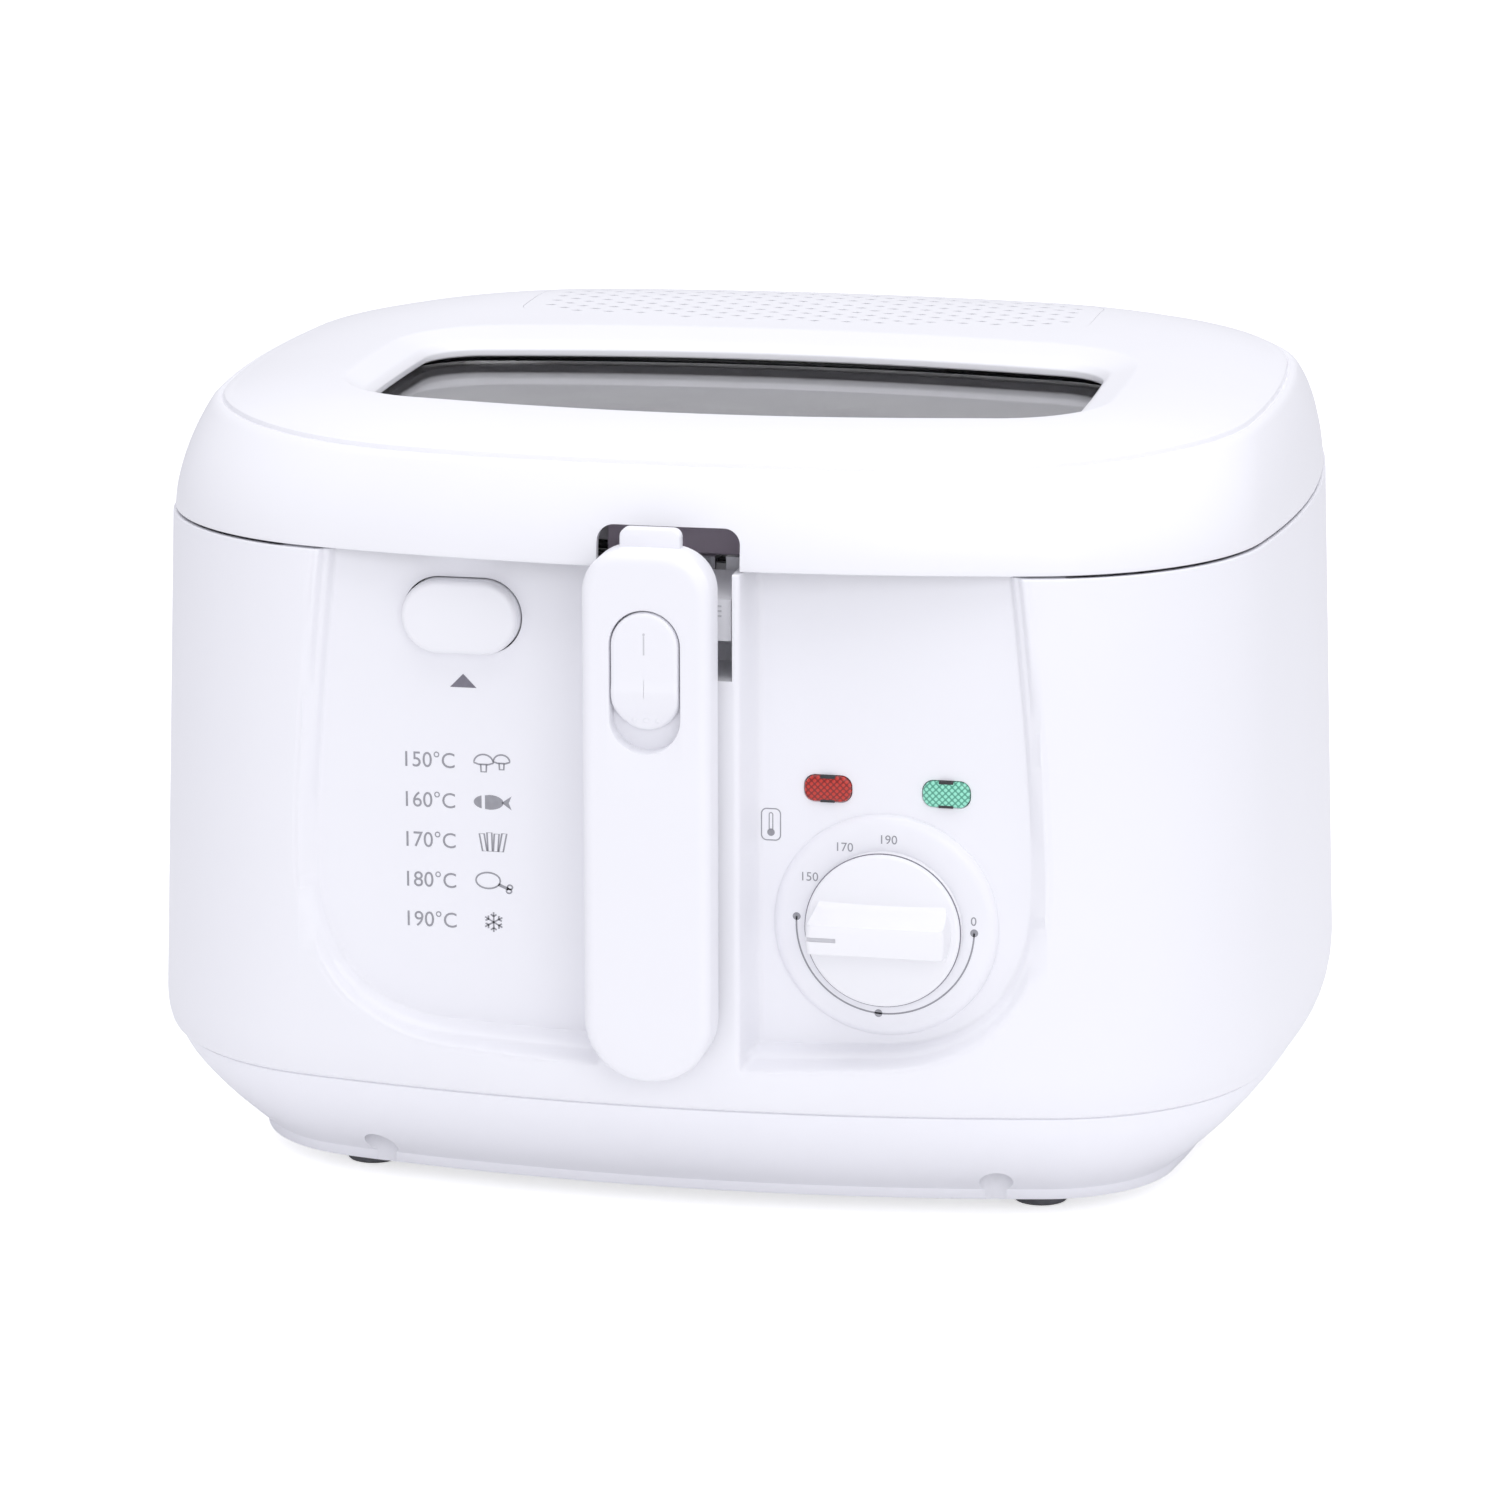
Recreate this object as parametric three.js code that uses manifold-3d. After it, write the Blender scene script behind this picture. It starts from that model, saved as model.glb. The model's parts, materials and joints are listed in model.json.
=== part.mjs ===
// A household deep fryer: moulded housing and base, hinged lid with a viewing window and a filter, an oil
// pot with its heater, a lift-out wire basket whose handle folds down over the front, a release button and
// a dial thermostat. Millimetres, +Z up. The front faces -Y and the fryer stands on Z = 0.

import * as THREE from "three";
import { mergeVertices } from "three/addons/utils/BufferGeometryUtils.js";
import Module from "manifold-3d";

const wasm = await Module();
wasm.setup();

// Fits
const seatGap = 0.3;
const runGap = 0.5;
const pinGap = 0.15;
const overrun = 6;
const mergeTolerance = 1e-4;

// Body
const fryerHeight = 244;
const bodyWidth = 355;
const bodyDepth = 311.2;
const bodyFlare = 6.2;
const frontRise = 30;
const sideRise = 25.7;
const bodyCornerShare = 0.245;
const wall = 2.6;
const footHeight = 6;
const baseHeight = 34.5;
const lidHeight = 37;

// Housing
const housingRoundHeight = 12.5;
const housingRoundInset = 4;
const skirtLevels = 3;
const deckDrop = 4;
const deckThickness = 2.5;
const slotShift = 2.8;
const columnHalf = 21.6;
const columnWall = 2.1;
const columnHollowMargin = 1;
const slotHeight = 32.5;
const slotDepth = 27.6;
const slotFloorDepth = 6.5;

// Control panel
const panelInset = 16.1;
const panelShare = 0.62;
const panelTopStep = 9;
const panelBottomStep = 48;
const panelRise = 18.5;
const panelCornerRise = 2;
const panelWideRise = 53;
const panelSlope = 4.5;
const panelSlopeDepth = 11;

// Dial
const dialShift = 0.375;
const dialRise = 57.8;
const dialShare = 0.758;
const dialRaise = 2.5;
const dialEdge = 1.8;
const knobShare = 0.7;
const knobDisc = 5.2;
const knobDome = 1.2;
const knobBarProud = 13;
const knobBarHeight = 10.5;
const knobBarCorner = 3.5;
const knobBarTaper = 2;
const knobBore = 3.2;
const shaftRadius = 3;
const shaftReach = 9;
const bushRadius = 4.6;
const bushHole = 5;
const thermostatMargin = 15.5;
const thermostatHeight = 30;
const thermostatDepth = 19;
const markLength = 9;
const markWidth = 1.3;
const markDepth = 0.5;

// Lamps
const lampShare = 0.534;
const lampRise = 41.2;
const lampWidth = 14.2;
const lampHeight = 7.9;
const lampCorner = 3.2;
const lampProud = 1.2;
const lampBody = 12;

// Lid release
const buttonShift = 2.3;
const buttonDrop = 19.5;
const buttonShare = 0.4534;
const buttonSlimness = 0.625;
const buttonProud = 5;
const buttonRound = 1.8;
const buttonFlange = 3;
const buttonFlangeDepth = 2.4;
const latchTravel = 4;
const latchWidth = 14;
const latchThickness = 3.2;
const noseReach = 3.8;
const noseHeight = 3.6;
const noseLift = 8.4;
const catchWidth = 18;
const catchHeight = 3;
const catchLift = 0.9;
const latchSpringRadius = 4;
const latchSpringWire = 0.8;
const latchSpringTurns = 4;
const latchSpringPitch = 1.92;
const springSeatThickness = 2.4;
const springSeatHalf = 10;

// Base
const baseTopInset = 4.5;
const baseBottomInset = 31.5;
const baseBandHeight = 3.5;
const baseFloor = 2.5;
const baseBulge = 1.35;
const baseLevels = 3;
const lipInset = 7.4;
const lipThickness = 2;
const lipHeight = 5;
const pocketSideStep = 13.05;
const pocketEndInset = 36.1;
const pocketRadius = 5.2;
const pocketWall = 2;
const pocketHeight = 15.5;
const bossRadius = 4.6;
const screwHole = 2.3;
const screwShank = 1.9;
const screwHead = 4.1;
const screwHeadHeight = 2.6;
const screwDepth = 20;
const footSideInset = 70.9;
const footEndInset = 63.1;
const footRadius = 9.3;
const footTaper = 1;
const footStud = 3;
const footStudHeight = 2;
const ventLength = 64;
const ventWidth = 3.2;
const ventPitch = 9;
const ventCount = 5;
const shieldPostSideInset = 50;
const shieldPostEndInset = 44;
const shieldPostRadius = 5;

// Oil pot and heater
const potSideRoom = 55.5;
const potFrontRoom = 43.6;
const potBackRoom = 75.6;
const potCornerShare = 0.2344;
const potFrontRise = 10.7;
const potSideRise = 5.1;
const potWall = 1.5;
const potFloorRise = 37.5;
const potFlange = 9;
const potFootRound = 14;
const potFootSteps = 2;
const potClear = 1;
const fillMarkHalf = 12;
const fillMarkHeight = 1.2;
const fillMarkProud = 0.7;
const fillMarkDrops = [46, 66];
const elementTube = 4;
const elementInset = 42;
const elementGapTurn = 0.11;
const elementTail = 22;
const shieldGrow = 5;
const shieldSheet = 1.2;
const shieldRim = 10;
const cutoutRadius = 9;

// Rear of the body
const hingeInset = 97.5;
const hingeProud = 5.4;
const hingeDrop = 2;
const barrelRadius = 5.5;
const hingePinRadius = 2.4;
const lidLugWidth = 12;
const bodyLugWidth = 7.7;
const lugSink = 0.1;
const lugDrop = 9;
const glandRise = 21.5;
const glandHole = 7;
const glandBore = 3.6;
const glandFlange = 10;
const glandFlangeDepth = 3;
const terminalWidth = 34;
const terminalDepth = 18;
const terminalHeight = 14;
const terminalInset = 47.6;

// Lid shell
const lidGap = 0.4;
const lidSeamInset = 0.8;
const creaseDrop = 7.5;
const creaseInset = 10.2;
const creaseCornerShare = 0.3213;
const skirtCurve = 1.9;
const domeInset = 62;
const domeCurve = 2.2;
const domeShares = [0.08, 0.3, 1];
const domeHiddenShares = [0.3, 1];
const lidLevels = 4;
const lidHiddenLevels = 2;
const lidWall = 2.6;
const notchHeight = 13;
const notchCorner = 5;

// Lid window and filter
const windowSideMargin = 66.5;
const windowFrontMargin = 57.6;
const windowBackMargin = 144.6;
const windowFrontRise = 13.9;
const windowSideRise = 1.65;
const windowCornerShare = 0.1835;
const windowLipDrop = 4.6;
const bevelSideStep = 10.5;
const bevelFrontStep = 6;
const bevelBackStep = 30;
const bevelFrontRise = 16.7;
const bevelSideRise = 2.9;
const bevelCornerShare = 0.276;
const bevelTopDrop = 0.3;
const frameGrow = 11;
const frameThickness = 2.6;
const glassThickness = 3.2;
const glassGrow = 6;
const gasketGrow = 9;
const coverSideStep = 16;
const coverFrontStep = 6;
const coverBackMargin = 34.6;
const coverFrontRise = 10.1;
const coverSideRise = 0.8;
const coverCornerShare = 0.19;
const coverSeatDrop = 2.6;
const coverLedge = 8;
const ledgeThickness = 2;
const holeSideMargin = 15;
const holeEndMargin = 11;
const holeBar = 7;
const holeColumns = 8;
const holeRows = 4;
const padInset = 5;
const padThickness = 2.4;

// Lid liner
const linerSheet = 1.6;
const linerInset = 20;
const linerWallInner = 5;
const linerWallOuter = 7;
const sealHeight = 2.9;
const tunnelHalf = 15;
const tunnelHeight = 12;
const lidBossInset = 36.5;
const lidBossFrontStep = 50;
const lidBossBackStep = 15;
const lidBossRadius = 4.5;
const steamSlotInset = 45;
const steamSlotWidth = 4;
const steamSlotPitch = 7;
const steamSlotCount = 4;

// Basket
const basketRoom = 20;
const basketDrop = 14.8;
const basketFloorRise = 17;
const rimWire = 4;
const rimCorner = 16;
const netThickness = 1.2;
const netWire = 1.6;
const netColumns = 9;
const netRows = 4;
const netSideColumns = 6;
const strapHalf = 12;
const strapSheet = 1.6;
const strapReach = 26;

// Basket handle
const pivotProud = 11.8;
const pivotRise = 1;
const pivotPinRadius = 1.9;
const pivotPinMargin = 4.4;
const handleFrontStep = 6.6;
const handleThickness = 13.6;
const handleHalf = 19.3;
const handleBottomRise = 14.2;
const handleTopRise = 8.4;
const handleTopCorner = 13;
const handleBottomMargin = 0.6;
const handleRound = 3.4;
const gripWall = 2.7;
const tongueHalf = 9.1;
const tongueRise = 5.4;
const tongueFrontStep = 0.9;
const tongueBackStep = 6;
const tongueCorner = 2.6;
const coverThickness = 2;
const coverTopDrop = 22;
const earRadius = 3.6;
const armInner = 5;
const armOuter = 10;
const armDrop = 2.3;
const armHeight = 3.5;
const riserDepth = 3.3;
const holderSideGap = 0.9;
const holderFrontInset = 3.6;
const holderBackGap = 3;
const holderRise = 11.5;
const holderSlope = 4.5;

// Handle slide lock
const slideTravel = 6;
const slideDrop = 9.6;
const slideWidth = 20.2;
const slideLength = 36;
const slideRecess = 5.8;
const slideFloor = 1.8;
const slideProud = 0.6;
const slideRamp = 12;
const slideRampDepth = 3.2;
const stemHalfWidth = 3;
const stemHeight = 12;
const stemReach = 2.6;
const slideSpringRadius = 1.25;
const slideSpringWire = 0.35;
const slideSpringTurns = 5;
const slideSpringLength = 22;
const slideSeatHeight = 3;

// Facets
const fineSteps = { side: 2, corner: 7, bow: 5 };
const windowSteps = { side: 1, corner: 4, bow: 5 };
const hiddenSteps = { side: 1, corner: 3, bow: 2 };
const dialSteps = 30;
const roundSteps = 14;
const smallSteps = 8;
const axleSteps = 16;
const curveSteps = 4;
const smallCurveSteps = 3;
const bevelSteps = 2;
const springSteps = 6;
const springSides = 4;
const elementSteps = 28;
const elementSides = 6;

// Heights that follow from the sizes above
const baseSeamZ = footHeight + baseHeight;
const lidSeamZ = fryerHeight - lidHeight;
const deckTopZ = lidSeamZ - deckDrop;
const deckBottomZ = deckTopZ - deckThickness;
const slotBottomZ = lidSeamZ - slotHeight;
const panelMidZ = baseSeamZ + panelRise;
const panelCornerZ = panelMidZ + panelCornerRise;
const panelWideZ = panelMidZ + panelWideRise;
const dialZ = baseSeamZ + dialRise;
const lampZ = dialZ + lampRise;
const buttonZ = lidSeamZ - buttonDrop;
const pocketTopZ = footHeight + pocketHeight;
const potFloorZ = baseSeamZ + potFloorRise;
const potRimZ = deckTopZ + seatGap + potWall;
const shieldTopZ = potFloorZ - 2 * seatGap - 2 * elementTube;
const hingeZ = lidSeamZ - hingeDrop;
const glandZ = baseSeamZ + glandRise;
const creaseZ = fryerHeight - creaseDrop;
const notchTopZ = lidSeamZ + notchHeight;
const windowLipZ = fryerHeight - windowLipDrop;
const bevelTopZ = fryerHeight - bevelTopDrop;
const frameUndersideZ = windowLipZ - frameThickness;
const coverSeatZ = fryerHeight - coverSeatDrop;
const linerTopZ = frameUndersideZ - glassThickness - 2 * seatGap;
const linerBottomZ = potRimZ + seatGap + sealHeight;
const basketTopZ = potRimZ - basketDrop;
const basketFloorZ = potFloorZ + basketFloorRise;
const holderBottomZ = slotBottomZ + holderRise;
const armTopZ = deckTopZ - armDrop;
const pivotZ = lidSeamZ + pivotRise;
const handleTopZ = pivotZ + handleTopRise;
const handleBottomZ = baseSeamZ + handleBottomRise;
const slideTopZ = pivotZ - slideDrop;
const slideLowZ = slideTopZ - slideLength;
const slideMiddleZ = slideTopZ - slideLength / 2;
const stemLowZ = slideMiddleZ - stemHeight / 2;
const stemTopZ = slideMiddleZ + stemHeight / 2;
const slideSpringLowZ = stemLowZ - seatGap - slideSpringLength;

// Places across and along that follow
const bodyBackY = bodyDepth / 2;
const bodyFrontY = -bodyDepth / 2;
const panelY = bodyFrontY + panelInset;
const panelBackY = panelY + wall;
const panelWideHalf = (panelShare * bodyWidth) / 2;
const panelTopHalf = panelWideHalf - panelTopStep;
const panelBottomHalf = panelWideHalf - panelBottomStep;
const slotLeft = slotShift - columnHalf;
const slotRight = slotShift + columnHalf;
const slotHalf = columnHalf - columnWall;
const slotBackY = bodyFrontY + slotDepth;
const dialX = (panelWideHalf + columnHalf) / 2 + dialShift;
const dialRadius = (dialShare * (panelWideHalf - columnHalf)) / 2;
const knobRadius = knobShare * dialRadius;
const thermostatHalf = dialRadius - thermostatMargin;
const lampSpread = lampShare * dialRadius;
const dialFaceY = panelY - dialRaise;
const knobBackY = dialFaceY - seatGap;
const knobFaceY = knobBackY - knobDisc;
const knobFrontY = knobFaceY - knobBarProud;
const buttonX = -(panelTopHalf + columnHalf) / 2 - buttonShift;
const buttonWidth = buttonShare * (panelTopHalf - columnHalf);
const buttonHeight = buttonSlimness * buttonWidth;
const latchY = panelBackY + buttonFlangeDepth;
const latchBackY = latchY + latchThickness;
const springSeatY = latchBackY + latchSpringTurns * latchSpringPitch + latchTravel;
const pocketX = panelWideHalf - pocketSideStep;
const pocketY = bodyBackY - pocketEndInset;
const footX = bodyWidth / 2 - footSideInset;
const footY = bodyBackY - footEndInset;
const potWidth = bodyWidth - 2 * potSideRoom;
const potFrontY = bodyFrontY + potFrontRoom;
const potBackY = bodyBackY - potBackRoom;
const potDepth = potBackY - potFrontY;
const potY = (potFrontY + potBackY) / 2;
const elementHalfX = potWidth / 2 - elementInset;
const elementHalfY = potDepth / 2 - elementInset;
const shieldPostX = potWidth / 2 - shieldPostSideInset;
const shieldPostY = potDepth / 2 - shieldPostEndInset;
const hingeX = bodyWidth / 2 - hingeInset;
const hingeY = bodyBackY + hingeProud;
const terminalY = bodyBackY - terminalInset;
const windowWidth = bodyWidth - 2 * windowSideMargin;
const windowFrontY = bodyFrontY + windowFrontMargin;
const windowBackY = bodyBackY - windowBackMargin;
const bevelWidth = windowWidth + 2 * bevelSideStep;
const bevelFrontY = windowFrontY - bevelFrontStep;
const bevelBackY = windowBackY + bevelBackStep;
const coverWidth = windowWidth - 2 * coverSideStep;
const coverFrontY = bevelBackY + coverFrontStep;
const coverBackY = bodyBackY - coverBackMargin;
const coverMiddleY = (coverFrontY + coverBackY) / 2;
const lidBossX = bodyWidth / 2 - lidBossInset;
const lidBossYs = [windowFrontY + lidBossFrontStep, coverFrontY + lidBossBackStep];
const basketWidth = potWidth - 2 * basketRoom;
const basketDepth = potDepth - 2 * basketRoom;
const basketFrontY = potY - basketDepth / 2;
const basketBackY = potY + basketDepth / 2;
const pivotY = bodyFrontY - pivotProud;
const pivotPinHalf = handleHalf - pivotPinMargin;
const handleBottomCorner = handleHalf - handleBottomMargin;
const handleFrontY = pivotY - handleFrontStep;
const handleBackY = handleFrontY + handleThickness;
const holderHalf = slotHalf - holderSideGap;
const holderFrontY = bodyFrontY + holderFrontInset;
const holderBackY = slotBackY - holderBackGap;
const recessBackY = handleFrontY + slideRecess;
const frontMostY = handleFrontY - slideProud;
const rearMostY = hingeY + barrelRadius;

// A plan has bowed sides and round corners; a bow is given by how far it rises over its side's length
function bow(length, rise) {
  return (length ** 2 / 4 + rise ** 2) / (2 * rise);
}

function makePlan(width, frontY, backY, frontBowRise, sideBowRise, cornerShare) {
  const depth = backY - frontY;
  return {
    width,
    depth,
    bowY: bow(width, frontBowRise),
    bowX: bow(depth, sideBowRise),
    corner: cornerShare * depth,
    centreY: (frontY + backY) / 2,
  };
}

// The body widens evenly from the lid's seam down to the base's
function bodyPlanAt(z) {
  const grow = (bodyFlare * (lidSeamZ - z)) / (lidSeamZ - baseSeamZ);
  return makePlan(bodyWidth + 2 * grow, bodyFrontY, bodyBackY, frontRise, sideRise, bodyCornerShare);
}

const bodyPlan = bodyPlanAt(lidSeamZ);
const footPlan = bodyPlanAt(baseSeamZ);
const potPlan = makePlan(potWidth, potFrontY, potBackY, potFrontRise, potSideRise, potCornerShare);
const windowPlan = makePlan(
  windowWidth,
  windowFrontY,
  windowBackY,
  windowFrontRise,
  windowSideRise,
  windowCornerShare,
);
const bevelPlan = makePlan(
  bevelWidth,
  bevelFrontY,
  bevelBackY,
  bevelFrontRise,
  bevelSideRise,
  bevelCornerShare,
);
const coverPlan = makePlan(
  coverWidth,
  coverFrontY,
  coverBackY,
  coverFrontRise,
  coverSideRise,
  coverCornerShare,
);
const creaseCorner = creaseCornerShare * bodyDepth;

// How far back the body's rear face stands at a place across it
function bowedBackY(x) {
  return bodyBackY - bodyPlan.bowY + Math.sqrt(bodyPlan.bowY ** 2 - x ** 2);
}

// Solids from geometries, and back
function solid(geometry) {
  const bare = new THREE.BufferGeometry();
  const plain = geometry.index ? geometry.toNonIndexed() : geometry;
  bare.setAttribute("position", plain.getAttribute("position").clone());
  const merged = mergeVertices(bare, mergeTolerance);
  const vertProperties = new Float32Array(merged.attributes.position.array);
  const triVerts = new Uint32Array(merged.index.array);
  return new wasm.Manifold(new wasm.Mesh({ numProp: 3, vertProperties, triVerts }));
}

function geometryOf(body) {
  const made = body.getMesh();
  const geometry = new THREE.BufferGeometry();
  geometry.setAttribute("position", new THREE.BufferAttribute(made.vertProperties, 3));
  geometry.setIndex(new THREE.BufferAttribute(made.triVerts, 1));
  geometry.computeVertexNormals();
  return geometry;
}

function joined(bodies) {
  return bodies.reduce((all, body) => all.add(body));
}

function cutBy(body, tools) {
  return tools.reduce((left, tool) => left.subtract(tool), body);
}

// Plan outlines: bowed sides joined by round corners, as points in order round +Z
function planArcs({ width, depth, bowY, bowX, corner }) {
  const bowCentreY = bowY - depth / 2;
  const bowCentreX = width / 2 - bowX;
  const span = Math.hypot(bowCentreX, bowCentreY);
  const toFront = bowY - corner;
  const toSide = bowX - corner;
  const along = (toFront * toFront - toSide * toSide + span * span) / (2 * span);
  const across = Math.sqrt(toFront * toFront - along * along);
  const unitX = bowCentreX / span;
  const unitY = bowCentreY / span;
  const x = unitX * along + unitY * across;
  const y = unitY * along - unitX * across - bowCentreY;
  const low = Math.atan2(y, x - bowCentreX);
  const high = Math.atan2(y + bowCentreY, x);
  const turn = Math.PI;
  return [
    [bowCentreX, 0, bowX, -low, low, "side"],
    [x, y, corner, low, high, "corner"],
    [0, -bowCentreY, bowY, high, turn - high, "bow"],
    [-x, y, corner, turn - high, turn - low, "corner"],
    [-bowCentreX, 0, bowX, turn - low, turn + low, "side"],
    [-x, -y, corner, turn + low, turn + high, "corner"],
    [0, bowCentreY, bowY, turn + high, 2 * turn - high, "bow"],
    [x, -y, corner, 2 * turn - high, 2 * turn - low, "corner"],
  ];
}

function planPoints(plan, inset, steps) {
  const points = [];
  for (const [x, y, radius, from, to, arc] of planArcs(plan)) {
    for (let k = 0; k < steps[arc]; k += 1) {
      const angle = from + ((to - from) * k) / steps[arc];
      const reach = radius - inset;
      const alongY = plan.centreY + y + reach * Math.sin(angle);
      points.push(new THREE.Vector2(x + reach * Math.cos(angle), alongY));
    }
  }
  return points;
}

function ring(plan, inset, z, steps = hiddenSteps) {
  return { points: planPoints(plan, inset, steps), z };
}

// A closed solid through rings of equal point counts, lowest first
function loft(rings) {
  const count = rings[0].points.length;
  const corners = [];
  for (const { points, z } of rings) {
    for (const point of points) {
      corners.push([point.x, point.y, z]);
    }
  }
  const faces = [];
  for (let level = 0; level + 1 < rings.length; level += 1) {
    for (let k = 0; k < count; k += 1) {
      const a = level * count + k;
      const b = level * count + ((k + 1) % count);
      faces.push([a, b, b + count], [a, b + count, a + count]);
    }
  }
  const last = (rings.length - 1) * count;
  for (const [a, b, c] of THREE.ShapeUtils.triangulateShape(rings[0].points, [])) {
    faces.push([c, b, a]);
  }
  for (const [a, b, c] of THREE.ShapeUtils.triangulateShape(rings[rings.length - 1].points, [])) {
    faces.push([last + a, last + b, last + c]);
  }
  const geometry = new THREE.BufferGeometry();
  geometry.setAttribute("position", new THREE.Float32BufferAttribute(corners.flat(), 3));
  geometry.setIndex(faces.flat());
  return solid(geometry);
}

function prism(plan, inset, low, high, steps = hiddenSteps) {
  return loft([ring(plan, inset, low, steps), ring(plan, inset, high, steps)]);
}

function tube(plan, outer, inner, low, high) {
  return prism(plan, outer, low, high).subtract(prism(plan, inner, low - overrun, high + overrun));
}

// Simple solids
function block(x0, x1, y0, y1, z0, z1) {
  const box = new THREE.BoxGeometry(x1 - x0, y1 - y0, z1 - z0);
  return solid(box.translate((x0 + x1) / 2, (y0 + y1) / 2, (z0 + z1) / 2));
}

function post(x, y, z0, z1, radius, steps = roundSteps, topRadius = radius) {
  const column = new THREE.CylinderGeometry(topRadius, radius, z1 - z0, steps).rotateX(Math.PI / 2);
  return solid(column.translate(x, y, (z0 + z1) / 2));
}

function axleX(x0, x1, y, z, radius, steps = axleSteps) {
  const rod = new THREE.CylinderGeometry(radius, radius, x1 - x0, steps).rotateZ(Math.PI / 2);
  return solid(rod.translate((x0 + x1) / 2, y, z));
}

function axleY(x, y0, y1, z, radius, steps = roundSteps, frontRadius = radius) {
  const rod = new THREE.CylinderGeometry(radius, frontRadius, y1 - y0, steps);
  return solid(rod.translate(x, (y0 + y1) / 2, z));
}

// A front outline (x across, z up) made solid between two depths
function frontSolid(shape, front, back, round = 0, steps = bevelSteps, curveSegments = curveSteps) {
  const geometry = new THREE.ExtrudeGeometry(shape, {
    depth: back - front - 2 * round,
    curveSegments,
    bevelEnabled: round > 0,
    bevelThickness: round,
    bevelSize: round,
    bevelOffset: -round,
    bevelSegments: steps,
  });
  return solid(geometry.rotateX(Math.PI / 2).translate(0, back - round, 0));
}

// A side outline (y across, z up) made solid between two places along X
function sideSolid(points, x0, x1) {
  const shape = new THREE.Shape(points.map(([y, z]) => new THREE.Vector2(y, z)));
  const geometry = new THREE.ExtrudeGeometry(shape, { depth: x1 - x0, bevelEnabled: false });
  const axes = new THREE.Matrix4().makeBasis(
    new THREE.Vector3(0, 1, 0),
    new THREE.Vector3(0, 0, 1),
    new THREE.Vector3(1, 0, 0),
  );
  return solid(geometry.applyMatrix4(axes).translate(x0, 0, 0));
}

function roundedShape(x0, x1, z0, z1, topCorner, bottomCorner = topCorner) {
  const shape = new THREE.Shape();
  const quarter = Math.PI / 2;
  shape.moveTo(x0 + bottomCorner, z0);
  shape.lineTo(x1 - bottomCorner, z0);
  shape.absarc(x1 - bottomCorner, z0 + bottomCorner, bottomCorner, -quarter, 0);
  shape.lineTo(x1, z1 - topCorner);
  shape.absarc(x1 - topCorner, z1 - topCorner, topCorner, 0, quarter);
  shape.lineTo(x0 + topCorner, z1);
  shape.absarc(x0 + topCorner, z1 - topCorner, topCorner, quarter, 2 * quarter);
  shape.lineTo(x0, z0 + bottomCorner);
  shape.absarc(x0 + bottomCorner, z0 + bottomCorner, bottomCorner, 2 * quarter, 3 * quarter);
  return shape;
}

function centredShape(x, z, width, height, corner) {
  return roundedShape(x - width / 2, x + width / 2, z - height / 2, z + height / 2, corner);
}

// A coil along +Z from zero, standing on its axis
function coil(radius, wire, turns, length) {
  const points = [];
  const count = turns * springSteps;
  for (let k = 0; k <= count; k += 1) {
    const angle = (2 * Math.PI * k) / springSteps;
    const rise = wire + ((length - 2 * wire) * k) / count;
    points.push(new THREE.Vector3(radius * Math.cos(angle), radius * Math.sin(angle), rise));
  }
  return roundTube(points, wire, count, springSides);
}

function roundTube(points, radius, steps, sides) {
  const corners = [];
  for (let k = 0; k < sides; k += 1) {
    const angle = (2 * Math.PI * k) / sides;
    corners.push(new THREE.Vector2(radius * Math.cos(angle), radius * Math.sin(angle)));
  }
  const section = new THREE.Shape(corners);
  const extrudePath = new THREE.CatmullRomCurve3(points);
  return solid(new THREE.ExtrudeGeometry(section, { steps, extrudePath, bevelEnabled: false }));
}

// Materials
function finish(color, roughness, metalness) {
  return { color, roughness, metalness };
}

const whitePlastic = finish(0xeeeef4, 0.32, 0);
const whiteHandle = finish(0xf2f2f6, 0.36, 0);
const darkRubber = finish(0x6a6a70, 0.85, 0);
const blackRubber = finish(0x2b2a2e, 0.8, 0);
const coatedPot = finish(0x55555a, 0.45, 0.7);
const brightSteel = finish(0xc4c6ca, 0.3, 1);
const dullSteel = finish(0x8d8f92, 0.5, 1);
const clearGlass = finish(0x9a9aa2, 0.05, 0);
const redLens = finish(0xc8301c, 0.25, 0);
const greenLens = finish(0x7fe0b8, 0.25, 0);
const blackPlastic = finish(0x303034, 0.5, 0);
const charcoal = finish(0x3a3a3c, 0.95, 0);
const felt = finish(0xc9c8c2, 0.95, 0);

function piece(name, body, look) {
  const material = new THREE.MeshStandardMaterial(look);
  const mesh = new THREE.Mesh(geometryOf(body), material);
  mesh.name = name;
  return mesh;
}

function placed(mesh, x, y, z) {
  mesh.position.set(x, y, z);
  return mesh;
}

function group(...pieces) {
  const made = new THREE.Group();
  made.add(...pieces);
  return made;
}

// Housing
function housingRings(grow, levels) {
  const low = baseSeamZ + seatGap;
  const rings = [];
  for (let k = 0; k <= levels; k += 1) {
    const turn = (Math.PI * k) / (2 * levels);
    const inset = housingRoundInset * (1 - Math.sin(turn));
    rings.push([inset + grow, low + housingRoundHeight * (1 - Math.cos(turn))]);
  }
  return rings;
}

function housingOuter() {
  const rings = housingRings(0, skirtLevels).map(([inset, z]) => ring(bodyPlanAt(z), inset, z, fineSteps));
  return loft([...rings, ring(bodyPlan, 0, lidSeamZ - seatGap, fineSteps)]);
}

function housingCavity() {
  const rings = housingRings(wall, 1).map(([inset, z]) => ring(bodyPlanAt(z), inset, z));
  const first = ring(footPlan, wall + housingRoundInset, baseSeamZ - overrun);
  return loft([first, ...rings, ring(bodyPlanAt(deckBottomZ), wall, deckBottomZ)]);
}

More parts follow.
